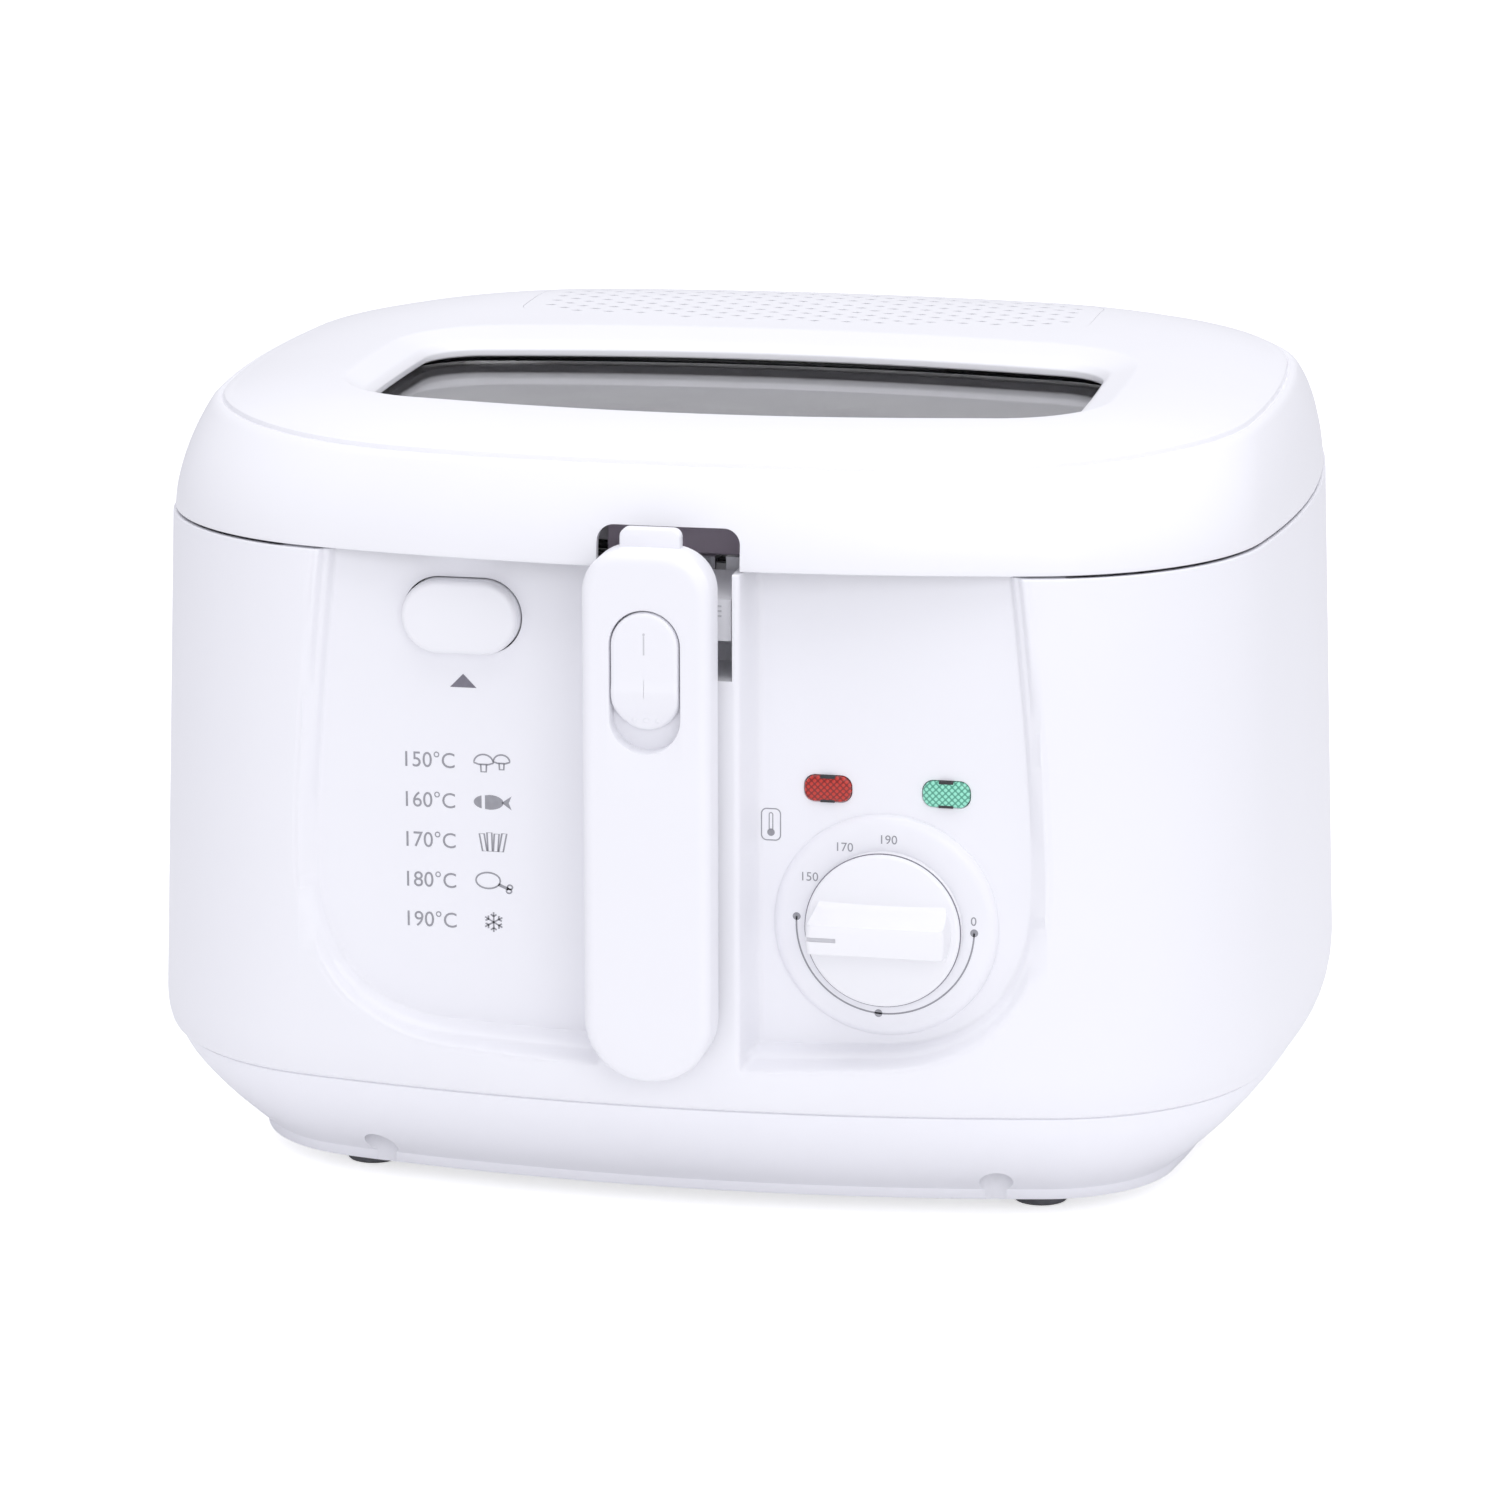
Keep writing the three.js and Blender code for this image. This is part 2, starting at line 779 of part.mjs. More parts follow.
function panelShape(grow) {
  const shape = new THREE.Shape();
  const top = lidSeamZ + overrun;
  const low = panelMidZ - grow;
  const cornerLow = panelCornerZ - grow;
  const wide = panelWideHalf + grow;
  shape.moveTo(0, low);
  shape.quadraticCurveTo(panelBottomHalf / 2, low, panelBottomHalf, cornerLow);
  shape.quadraticCurveTo(wide, cornerLow + grow / 2, wide, panelWideZ);
  shape.lineTo(panelTopHalf + grow, top);
  shape.lineTo(-panelTopHalf - grow, top);
  shape.lineTo(-wide, panelWideZ);
  shape.quadraticCurveTo(-wide, cornerLow + grow / 2, -panelBottomHalf, cornerLow);
  shape.quadraticCurveTo(-panelBottomHalf / 2, low, 0, low);
  return shape;
}

// The recess is a pocket whose sides slope in to the flat panel
function panelPocket() {
  const front = bodyFrontY - overrun - panelSlopeDepth;
  const geometry = new THREE.ExtrudeGeometry(panelShape(0), {
    depth: panelY - front - 2 * panelSlopeDepth,
    curveSegments: curveSteps,
    bevelEnabled: true,
    bevelThickness: panelSlopeDepth,
    bevelSize: panelSlope,
    bevelSegments: bevelSteps,
  });
  const pocket = solid(geometry.rotateX(Math.PI / 2).translate(0, panelY - panelSlopeDepth, 0));
  const column = block(slotLeft, slotRight, front, panelY + overrun, 0, lidSeamZ + 2 * overrun);
  return pocket.subtract(column);
}

function panelBacking() {
  const front = bodyFrontY - overrun;
  const back = frontSolid(panelShape(panelSlope + wall), front, panelBackY);
  const x0 = slotLeft + wall;
  const x1 = slotRight - wall;
  const low = panelMidZ + columnHollowMargin;
  const gap = block(x0, x1, bodyFrontY + wall, panelBackY, low, slotBottomZ - slotFloorDepth);
  return back.subtract(gap);
}

function slotWalls() {
  const bottom = slotBottomZ - wall;
  return block(slotLeft, slotRight, bodyFrontY, slotBackY + wall, bottom, deckTopZ);
}

// The four places at x and y from the middle of the body, from the front right corner on
function cornerPlaces(x, y) {
  return [-1, 1].flatMap((end) => [1, -1].map((side) => [side * x, end * y]));
}

function screwBosses(low, high, radius) {
  return cornerPlaces(pocketX, pocketY).map(([x, y]) => post(x, y, low, high, radius));
}

function springSeat() {
  const x0 = buttonX - springSeatHalf;
  const x1 = buttonX + springSeatHalf;
  return block(x0, x1, springSeatY, springSeatY + springSeatThickness, buttonZ - springSeatHalf, deckTopZ);
}

function lugRootY() {
  return bowedBackY(hingeX + lidLugWidth / 2 + seatGap + bodyLugWidth) - lugSink;
}

function bodyLugs() {
  const near = lidLugWidth / 2 + seatGap;
  const lugs = [];
  for (const side of [-1, 1]) {
    for (const place of [-1, 1]) {
      const middle = side * hingeX + place * (near + bodyLugWidth / 2);
      const x0 = middle - bodyLugWidth / 2;
      const x1 = middle + bodyLugWidth / 2;
      const arm = block(x0, x1, lugRootY(), hingeY, hingeZ - lugDrop, hingeZ);
      lugs.push(arm.add(axleX(x0, x1, hingeY, hingeZ, barrelRadius)));
    }
  }
  return lugs;
}

function hingeBores(radius) {
  const reach = lidLugWidth / 2 + bodyLugWidth + overrun;
  return [-1, 1].map((side) => axleX(side * hingeX - reach, side * hingeX + reach, hingeY, hingeZ, radius));
}

function outerHousing() {
  const inside = cutBy(housingCavity(), [
    panelBacking(),
    slotWalls(),
    springSeat(),
    ...screwBosses(pocketTopZ, deckTopZ, bossRadius),
  ]);
  const bossFace = dialRadius - dialEdge;
  const boss = axleY(dialX, dialFaceY, panelY + wall / 2, dialZ, dialRadius, dialSteps, bossFace);
  const upper = prism(bodyPlan, wall, deckTopZ, lidSeamZ + overrun);
  const shell = cutBy(housingOuter(), [inside, upper, panelPocket()]);
  const slot = block(
    slotShift - slotHalf,
    slotShift + slotHalf,
    bodyFrontY - overrun,
    slotBackY,
    slotBottomZ,
    lidSeamZ + overrun,
  );
  const latchRoom = block(
    buttonX - latchWidth / 2 - runGap,
    buttonX + latchWidth / 2 + runGap,
    latchY - runGap,
    latchBackY + latchTravel + runGap,
    deckBottomZ - overrun,
    lidSeamZ,
  );
  const holes = [
    slot,
    prism(potPlan, -potClear, deckBottomZ - overrun, deckTopZ + overrun),
    axleY(dialX, dialFaceY - overrun, panelBackY + overrun, dialZ, bushHole),
    frontSolid(buttonShape(runGap), panelY - overrun, panelBackY + wall),
    latchRoom,
    ...[-1, 1].map((side) => lampHole(side)),
    axleY(0, bodyBackY - 2 * wall, bodyBackY + overrun, glandZ, glandHole),
    axleY(0, bodyBackY - 2 * wall, bodyBackY - wall, glandZ, glandHole + wall),
    ...screwBosses(baseSeamZ - overrun, pocketTopZ + screwDepth + overrun, screwHole),
    ...hingeBores(hingePinRadius + pinGap),
  ];
  return cutBy(joined([shell, boss, ...bodyLugs()]), holes);
}

// Base tray
function baseRings(grow, levels) {
  const bandTop = footHeight + baseBandHeight;
  const height = baseSeamZ - bandTop;
  const rings = [];
  for (let k = 0; k <= levels; k += 1) {
    const down = 1 - k / levels;
    const inset = baseTopInset + (baseBottomInset - baseTopInset) * down ** baseBulge;
    rings.push([inset + grow, bandTop + (height * k) / levels]);
  }
  return rings;
}

function baseTray() {
  const outer = loft([
    ring(footPlan, baseBottomInset, footHeight, fineSteps),
    ...baseRings(0, baseLevels).map(([inset, z]) => ring(footPlan, inset, z, fineSteps)),
  ]);
  const floorZ = footHeight + baseFloor;
  const [lowest, ...rings] = baseRings(wall, baseLevels - 1).map(([inset, z]) => ring(footPlan, inset, z));
  const mouth = ring(footPlan, baseTopInset + wall, baseSeamZ + seatGap);
  const cavity = loft([{ ...lowest, z: floorZ }, ...rings, mouth]);
  const sleeves = screwBosses(footHeight, pocketTopZ + baseFloor, pocketRadius + pocketWall);
  const shieldPosts = shieldSupports(floorZ - seatGap, baseSeamZ);
  const hollow = cutBy(cavity, [...sleeves, ...shieldPosts]);
  const lip = tube(footPlan, lipInset, lipInset + lipThickness, baseSeamZ - lipHeight, baseSeamZ + lipHeight);
  const posts = shieldSupports(baseSeamZ - seatGap, shieldTopZ - shieldSheet - seatGap);
  const body = joined([outer.subtract(hollow), lip, ...posts]);
  const cuts = [
    ...screwBosses(-overrun, pocketTopZ, pocketRadius),
    ...screwBosses(0, pocketTopZ + baseFloor + overrun, screwHole),
    ...cornerPlaces(footX, footY).map(([x, y]) => post(x, y, 0, floorZ + overrun, footStud + seatGap)),
    ...baseVents(),
  ];
  return cutBy(body, cuts);
}

function shieldSupports(low, high) {
  const places = cornerPlaces(shieldPostX, shieldPostY);
  return places.map(([x, y]) => post(x, potY + y, low, high, shieldPostRadius, smallSteps));
}

function baseVents() {
  const cuts = [];
  for (let k = 0; k < ventCount; k += 1) {
    const y = potY + (k - (ventCount - 1) / 2) * ventPitch;
    cuts.push(block(-ventLength / 2, ventLength / 2, y - ventWidth / 2, y + ventWidth / 2, 0, baseSeamZ / 2));
  }
  return cuts;
}

function foot() {
  const pad = post(0, 0, 0, footHeight - seatGap, footRadius - footTaper, roundSteps, footRadius);
  return pad.add(post(0, 0, footHeight - 2 * seatGap, footHeight + footStudHeight, footStud, smallSteps));
}

// A slotted screw from below, its head's upper face at the given height
function screw(headTop, reach) {
  const head = post(0, 0, -screwHeadHeight, headTop, screwHead, smallSteps);
  const shank = post(0, 0, headTop - seatGap, reach, screwShank, smallSteps);
  const slot = block(-screwHead, screwHead, -markDepth, markDepth, -overrun, markWidth - screwHeadHeight);
  return head.add(shank).subtract(slot);
}

// Pot and heater

// The pot's wall at an inset, rounded at its foot
function potBody(inset, round, low, high) {
  const rings = [];
  for (let k = 0; k <= potFootSteps; k += 1) {
    const angle = (Math.PI * k) / (2 * potFootSteps);
    const grow = inset + round * (1 - Math.sin(angle));
    rings.push(ring(potPlan, grow, low + round * (1 - Math.cos(angle))));
  }
  return loft([...rings, ring(potPlan, inset, high)]);
}

function oilPot() {
  const body = potBody(0, potFootRound, potFloorZ, potRimZ);
  const hollow = potBody(potWall, potFootRound - potWall, potFloorZ + potWall, potRimZ + overrun);
  const flange = prism(potPlan, -potFlange, potRimZ - potWall, potRimZ);
  const innerY = potBackY - potWall;
  const marks = fillMarkDrops.map((drop) => {
    const z = potRimZ - drop;
    const back = innerY + potWall / 2;
    return block(-fillMarkHalf, fillMarkHalf, innerY - fillMarkProud, back, z, z + fillMarkHeight);
  });
  return joined([body.add(flange).subtract(hollow), ...marks]);
}

function heatingElement() {
  const z = potFloorZ - seatGap - elementTube;
  const points = [];
  const count = elementSteps;
  const start = Math.PI / 2 + elementGapTurn * Math.PI;
  const sweep = 2 * Math.PI * (1 - elementGapTurn);
  for (let k = 0; k <= count; k += 1) {
    const angle = start + (sweep * k) / count;
    const y = potY + elementHalfY * Math.sin(angle);
    points.push(new THREE.Vector3(elementHalfX * Math.cos(angle), y, z));
  }
  const first = points[0].clone().setY(points[0].y + elementTail);
  const last = points[count].clone().setY(points[count].y + elementTail);
  return roundTube([first, ...points, last], elementTube, count, elementSides);
}

function heatShield() {
  const low = shieldTopZ - shieldSheet;
  const high = shieldTopZ + shieldRim;
  const tray = prism(potPlan, -shieldGrow, low, high);
  return tray.subtract(prism(potPlan, shieldSheet - shieldGrow, shieldTopZ, high + overrun));
}

function thermalCutout() {
  return post(0, potY, shieldTopZ + seatGap, potFloorZ - seatGap, cutoutRadius);
}

// Thermostat, shaft and knob, about the dial's own axis
function thermostat() {
  const back = panelBackY + seatGap;
  const halfZ = thermostatHeight / 2;
  const box = block(-thermostatHalf, thermostatHalf, back, back + thermostatDepth, -halfZ, halfZ);
  const bush = axleY(0, dialFaceY, back + seatGap, 0, bushRadius);
  return box.add(bush).subtract(axleY(0, dialFaceY - overrun, back + shaftReach, 0, shaftRadius + pinGap));
}

function thermostatShaft() {
  const flat = block(-shaftRadius, shaftRadius, knobFrontY, knobBackY, shaftRadius / 2, 2 * shaftRadius);
  const end = panelBackY + shaftReach;
  return axleY(0, knobFaceY - knobBarProud / 2, end, 0, shaftRadius).subtract(flat);
}

function temperatureKnob() {
  const profile = [
    new THREE.Vector2(0, 0),
    new THREE.Vector2(knobRadius, 0),
    new THREE.Vector2(knobRadius, knobDisc - knobDome),
    new THREE.Vector2(knobRadius - knobDome, knobDisc),
    new THREE.Vector2(0, knobDisc),
  ];
  const disc = solid(new THREE.LatheGeometry(profile, dialSteps).rotateX(Math.PI).translate(0, knobBackY, 0));
  const reach = knobRadius - knobDome / 2;
  const shape = centredShape(0, 0, 2 * reach, knobBarHeight, knobBarCorner);
  const bar = frontSolid(shape, knobFrontY, knobFaceY + 2 * knobBarTaper, knobBarTaper);
  const bore = axleY(0, knobFaceY - knobBarProud / 2 - seatGap, knobBackY + overrun, 0, knobBore);
  const half = markWidth / 2;
  const start = knobBarTaper - reach;
  const mark = block(start, start + markLength, knobFrontY - overrun, knobFrontY + markDepth, -half, half);
  return cutBy(disc.add(bar), [bore, mark]);
}

// Lamps
function lampShape(side, grow) {
  const corner = lampCorner + grow;
  return centredShape(dialX + side * lampSpread, lampZ, lampWidth + 2 * grow, lampHeight + 2 * grow, corner);
}

function lampLens(side) {
  return frontSolid(lampShape(side, 0), panelY - lampProud, panelBackY, lampProud, 1, smallCurveSteps);
}

function lampHole(side) {
  return frontSolid(lampShape(side, seatGap), panelY - overrun, panelBackY + overrun, 0, 1, smallCurveSteps);
}

function lampHolder(side) {
  const x = dialX + side * lampSpread;
  const shape = centredShape(x, lampZ, lampWidth - lampCorner, lampHeight - lampProud, lampProud);
  return frontSolid(shape, panelBackY + seatGap, panelBackY + lampBody, 0, 1, 1);
}

// Lid release
function buttonShape(grow) {
  const height = buttonHeight + 2 * grow;
  return centredShape(buttonX, buttonZ, buttonWidth + 2 * grow, height, height / 2);
}

function lidButton() {
  const cap = frontSolid(buttonShape(0), panelY - buttonProud, latchY - seatGap, buttonRound);
  const edge = centredShape(buttonX, buttonZ, buttonWidth + 2 * buttonFlange, buttonHeight, buttonFlange);
  return cap.add(frontSolid(edge, panelBackY + seatGap, latchY - seatGap));
}

function latchHook() {
  const half = latchWidth / 2;
  const noseZ = lidSeamZ + noseLift;
  const stem = block(buttonX - half, buttonX + half, latchY, latchBackY, buttonZ - half, noseZ);
  const nose = sideSolid(
    [
      [latchY - noseReach, noseZ - noseHeight],
      [latchY + latchThickness / 2, noseZ - noseHeight],
      [latchY + latchThickness / 2, noseZ],
      [latchY, noseZ],
    ],
    buttonX - half,
    buttonX + half,
  );
  return stem.add(nose);
}

function latchSpring() {
  const length = springSeatY - latchBackY - 2 * seatGap;
  return coil(latchSpringRadius, latchSpringWire, latchSpringTurns, length);
}

// Lid
function lidPlan(inset) {
  const share = Math.min(1, (inset - lidSeamInset) / (creaseInset - lidSeamInset));
  const corner = bodyPlan.corner + (creaseCorner - bodyPlan.corner + creaseInset) * share;
  return { ...bodyPlan, corner };
}

function lidRings(thickness, levels, shares, steps) {
  const rings = [];
  const low = lidSeamZ + lidGap - (thickness ? overrun : 0);
  for (let k = 0; k <= levels; k += 1) {
    const rise = k / levels;
    const inset = lidSeamInset + (creaseInset - lidSeamInset) * rise ** skirtCurve;
    rings.push([inset, low + (creaseZ - thickness / 2 - low) * rise]);
  }
  for (const rise of shares) {
    const inset = creaseInset + (domeInset - creaseInset) * rise;
    const z = creaseZ + (fryerHeight - creaseZ) * (1 - (1 - rise) ** domeCurve);
    rings.push([inset, z - thickness]);
  }
  return rings.map(([inset, z]) => ring(lidPlan(inset), inset + thickness, z, steps));
}

function lidSkin() {
  return loft(lidRings(0, lidLevels, domeShares, fineSteps));
}

function windowRecess() {
  return loft([
    ring(windowPlan, 0, windowLipZ, windowSteps),
    ring(bevelPlan, 0, bevelTopZ, windowSteps),
    ring(bevelPlan, 0, fryerHeight + overrun, windowSteps),
  ]);
}

function handleNotch() {
  const low = lidSeamZ - 2 * notchCorner;
  const shape = roundedShape(slotLeft, slotRight, low, notchTopZ, notchCorner, notchCorner / 2);
  return frontSolid(shape, bodyFrontY - overrun, slotBackY);
}

function lidBosses(low, high, radius) {
  return [-1, 1].flatMap((side) =>
    lidBossYs.map((y) => post(side * lidBossX, y, low, high, radius, smallSteps)),
  );
}

function lidCatch() {
  const front = lidSeamInset + lidWall / 2 - bowedBackY(buttonX);
  const low = lidSeamZ + lidGap + catchLift;
  const back = latchY - noseReach - seatGap;
  return block(buttonX - catchWidth / 2, buttonX + catchWidth / 2, front, back, low, low + catchHeight);
}

function lidLugs() {
  return [-1, 1].map((side) => {
    const x0 = side * hingeX - lidLugWidth / 2;
    const x1 = side * hingeX + lidLugWidth / 2;
    const arm = block(x0, x1, lugRootY(), hingeY, lidSeamZ + lidGap, hingeZ + barrelRadius);
    return arm.add(axleX(x0, x1, hingeY, hingeZ, barrelRadius));
  });
}

function lidOuter() {
  const hollow = loft(lidRings(lidWall, lidHiddenLevels, domeHiddenShares, hiddenSteps));
  const cavity = cutBy(hollow, [
    prism(windowPlan, -frameGrow, frameUndersideZ, fryerHeight),
    prism(coverPlan, -lidWall, coverSeatZ - ledgeThickness, fryerHeight),
    ...lidBosses(linerTopZ + seatGap, fryerHeight, lidBossRadius),
  ]);
  const shell = cutBy(lidSkin(), [
    cavity,
    windowRecess(),
    prism(windowPlan, 0, frameUndersideZ - overrun, fryerHeight, windowSteps),
    prism(coverPlan, -seatGap, coverSeatZ, fryerHeight + overrun, windowSteps),
    prism(coverPlan, coverLedge, coverSeatZ - overrun, fryerHeight),
    handleNotch(),
  ]);
  const body = joined([shell, lidCatch(), ...lidLugs()]);
  const screwHoles = lidBosses(linerTopZ - overrun, fryerHeight - 2 * lidWall, screwHole);
  return cutBy(body, [...hingeBores(hingePinRadius + pinGap), ...screwHoles]);
}

function windowGlass() {
  return prism(windowPlan, -glassGrow, linerTopZ + seatGap, frameUndersideZ - seatGap);
}

function windowGasket() {
  return tube(windowPlan, -gasketGrow, -glassGrow - seatGap, linerTopZ + seatGap, frameUndersideZ - seatGap);
}

function steamSlots() {
  const cuts = [];
  for (let k = 0; k < steamSlotCount; k += 1) {
    const y = coverFrontY + padInset + steamSlotPitch * (k + 1);
    const half = coverWidth / 2 - steamSlotInset;
    const edge = steamSlotWidth / 2;
    cuts.push(block(-half, half, y - edge, y + edge, linerTopZ - overrun, fryerHeight));
  }
  return cuts;
}

function hangerTunnel() {
  return block(-tunnelHalf, tunnelHalf, bodyFrontY, potY - potDepth / 4, 0, lidSeamZ + tunnelHeight);
}

function lidInner() {
  const panel = prism(lidPlan(creaseInset), linerInset, linerTopZ - linerSheet, linerTopZ);
  const skirt = tube(potPlan, -linerWallOuter, -linerWallInner, linerBottomZ, linerTopZ - linerSheet / 2);
  return cutBy(panel.add(skirt), [
    prism(windowPlan, 0, linerTopZ - overrun, fryerHeight, windowSteps),
    ...steamSlots(),
    ...lidBosses(linerTopZ - overrun, fryerHeight, screwHole),
    hangerTunnel(),
  ]);
}

function lidSeal() {
  const ringSeal = tube(
    potPlan,
    -linerWallOuter - seatGap,
    -linerWallInner + seatGap,
    potRimZ + seatGap,
    linerBottomZ - seatGap,
  );
  return ringSeal.subtract(hangerTunnel());
}

function filterCover() {
  const low = coverSeatZ + seatGap;
  const plate = lidSkin().intersect(prism(coverPlan, 0, low, fryerHeight + overrun, windowSteps));
  const pitchX = (coverWidth - 2 * holeSideMargin) / holeColumns;
  const pitchY = (coverPlan.depth - 2 * holeEndMargin) / holeRows;
  const holes = [];
  for (let row = 0; row < holeRows; row += 1) {
    const count = holeColumns - (row % 2);
    const y = coverMiddleY + (row - (holeRows - 1) / 2) * pitchY;
    for (let column = 0; column < count; column += 1) {
      const x = (column - (count - 1) / 2) * pitchX;
      holes.push(lozenge(x, y, pitchX - holeBar, pitchY - holeBar));
    }
  }
  return plate.subtract(joined(holes));
}

function lozenge(x, y, width, depth) {
  const height = fryerHeight - coverSeatZ + 2 * overrun;
  const bar = new THREE.CylinderGeometry(width / 2, width / 2, height, 4).rotateX(Math.PI / 2);
  return solid(bar.scale(1, depth / width, 1).translate(x, y, coverSeatZ));
}

function filterPad(low) {
  return prism(coverPlan, padInset, low, low + padThickness);
}

// Basket
function basketRim() {
  const outline = basketOutline(0);
  outline.holes.push(basketOutline(rimWire));
  const edge = rimWire / 4;
  const geometry = new THREE.ExtrudeGeometry(outline, {
    depth: rimWire - 2 * edge,
    curveSegments: smallCurveSteps,
    bevelEnabled: true,
    bevelThickness: edge,
    bevelSize: edge,
    bevelOffset: -edge,
    bevelSegments: 1,
  });
  return solid(geometry.translate(0, potY, basketTopZ - rimWire + edge));
}

function basketOutline(inset) {
  const x = basketWidth / 2 - inset;
  const y = basketDepth / 2 - inset;
  return roundedShape(-x, x, -y, y, rimCorner - inset);
}

// A flat net of square openings, from the origin across and up
function net(width, height, columns, rows) {
  const stepX = (width - netWire) / columns;
  const stepY = (height - netWire) / rows;
  const gaps = [];
  for (let column = 0; column < columns; column += 1) {
    for (let row = 0; row < rows; row += 1) {
      const x = netWire + column * stepX;
      const y = netWire + row * stepY;
      gaps.push(block(x, x + stepX - netWire, y, y + stepY - netWire, -netThickness, 2 * netThickness));
    }
  }
  return block(0, width, 0, height, 0, netThickness).subtract(joined(gaps));
}

function basketNets() {
  const width = basketWidth - 2 * rimWire;
  const depth = basketDepth - 2 * netThickness - 2 * seatGap;
  const low = basketFloorZ + netThickness + seatGap;
  const height = basketTopZ - rimWire - seatGap - low;
  const upright = Math.PI / 2;
  const front = piece("basket_net_front", net(width, height, netColumns, netRows), brightSteel);
  front.rotation.x = upright;
  placed(front, -width / 2, basketFrontY + netThickness + seatGap, low);
  const back = piece("basket_net_back", net(width, height, netColumns, netRows), brightSteel);
  back.rotation.x = upright;
  placed(back, -width / 2, basketBackY - seatGap, low);
  const sideDepth = depth - 4 * seatGap;
  const left = piece("basket_net_left", net(sideDepth, height, netSideColumns, netRows), brightSteel);
  left.rotation.set(upright, upright, 0);
  placed(left, -width / 2, potY - sideDepth / 2, low);
  const right = piece("basket_net_right", net(sideDepth, height, netSideColumns, netRows), brightSteel);
  right.rotation.set(upright, upright, 0);
  placed(right, width / 2 - netThickness, potY - sideDepth / 2, low);
  const floor = piece("basket_net_floor", net(width, basketDepth, netColumns, netSideColumns), brightSteel);
  placed(floor, -width / 2, basketFrontY, basketFloorZ);
  return [front, back, left, right, floor];
}

function basketHanger() {
  const under = potRimZ + seatGap;
  const top = under + strapSheet;
  const inner = basketFrontY - seatGap;
  const outer = holderBackY + seatGap;
  const outline = [
    [outer, holderBottomZ],
    [outer + strapSheet, holderBottomZ],
    [outer + strapSheet, under],
    [inner - strapSheet, under],
    [inner - strapSheet, basketTopZ - strapReach],
    [inner, basketTopZ - strapReach],
    [inner, top],
    [outer, top],
  ];
  return sideSolid(outline, -strapHalf, strapHalf);
}

function handleHolder() {
  const body = sideSolid(
    [
      [holderFrontY, holderBottomZ],
      [holderBackY, holderBottomZ],
      [holderBackY, armTopZ + holderSlope / 2],
      [holderFrontY, armTopZ - holderSlope / 2],
    ],
    slotShift - holderHalf,
    slotShift + holderHalf,
  );
  const arms = [-1, 1].flatMap((side) => {
    const x0 = side < 0 ? -armOuter : armInner;
    const x1 = x0 + armOuter - armInner;
    const y0 = recessBackY + slideFloor + seatGap;
    const low = armTopZ - armHeight;
    const leg = block(x0, x1, y0, holderBackY, low, armTopZ);
    const riser = block(x0, x1, y0, y0 + riserDepth, low, pivotZ);
    return [leg, riser, axleX(x0, x1, pivotY, pivotZ, earRadius)];
  });
  const bore = axleX(-armOuter - overrun, armOuter + overrun, pivotY, pivotZ, pivotPinRadius + pinGap);
  return joined([body, ...arms]).subtract(bore);
}

// Handle
function handleShape(inset, top, bottom) {
  const half = handleHalf - inset;
  return roundedShape(-half, half, bottom, top, handleTopCorner - inset, handleBottomCorner - inset);
}

function slideShape(grow, low) {
  const width = slideWidth + 2 * grow;
  const half = width / 2;
  return roundedShape(-half, half, low - grow, slideTopZ + grow, half);
}

function gripHollow() {
  const shape = handleShape(gripWall, handleTopZ - gripWall, handleBottomZ + gripWall);
  const hollow = frontSolid(shape, handleFrontY + gripWall, handleBackY + overrun);
  const walls = slideShape(runGap + slideFloor - seatGap, slideLowZ - slideTravel);
  const box = frontSolid(walls, handleFrontY, recessBackY + slideFloor);
  const back = handleBackY - coverThickness - seatGap;
  const top = slideSpringLowZ - seatGap;
  const seat = block(-handleHalf, handleHalf, handleFrontY, back, top - slideSeatHeight, top);
  return cutBy(hollow, [box, seat]);
}

function handleGrip() {
  const outline = handleShape(0, handleTopZ, handleBottomZ);
  const grip = frontSolid(outline, handleFrontY, handleBackY, handleRound);
  const tongueTop = handleTopZ + tongueRise;
  const tongue = frontSolid(
    roundedShape(-tongueHalf, tongueHalf, handleTopZ - gripWall, tongueTop, tongueCorner, seatGap),
    pivotY + tongueFrontStep,
    pivotY + tongueBackStep,
  );
  const recessShape = slideShape(runGap, slideLowZ - slideTravel);
  const recess = frontSolid(recessShape, handleFrontY - overrun, recessBackY);
  const half = stemHalfWidth + runGap;
  const low = stemLowZ - slideTravel - runGap;
  const stemSlot = block(-half, half, handleFrontY, handleBackY, low, stemTopZ + runGap);
  const boreHalf = pivotPinHalf + seatGap;
  const bore = axleX(-boreHalf, boreHalf, pivotY, pivotZ, pivotPinRadius + pinGap);
  return cutBy(grip.add(tongue), [gripHollow(), recess, stemSlot, bore]);
}

function handleCover() {
  const inset = gripWall + seatGap;
  const half = handleHalf - inset;
  const low = handleBottomZ + inset;
  const shape = roundedShape(-half, half, low, pivotZ - coverTopDrop, seatGap, handleBottomCorner - inset);
  return frontSolid(shape, handleBackY - coverThickness, handleBackY);
}

function handleSlide() {
  const face = handleFrontY - slideProud;
  const cap = frontSolid(slideShape(0, slideLowZ), face, recessBackY - seatGap, slideProud);
  const ramp = sideSolid(
    [
      [face - overrun, slideLowZ - overrun],
      [face + slideRampDepth, slideLowZ - overrun],
      [face + slideRampDepth, slideLowZ],
      [face, slideLowZ + slideRamp],
      [face - overrun, slideLowZ + slideRamp],
    ],
    -slideWidth,
    slideWidth,
  );
  const back = recessBackY + slideFloor + stemReach;
  const stem = block(-stemHalfWidth, stemHalfWidth, recessBackY - slideFloor, back, stemLowZ, stemTopZ);
  const keeperHalf = stemHalfWidth + runGap + slideFloor;
  const keeperFront = recessBackY + slideFloor + seatGap;
  const keeper = block(-keeperHalf, keeperHalf, keeperFront, back, stemLowZ, stemTopZ);
  return joined([cap.subtract(ramp), stem, keeper]);
}

function slideSpring() {
  return coil(slideSpringRadius, slideSpringWire, slideSpringTurns, slideSpringLength);
}

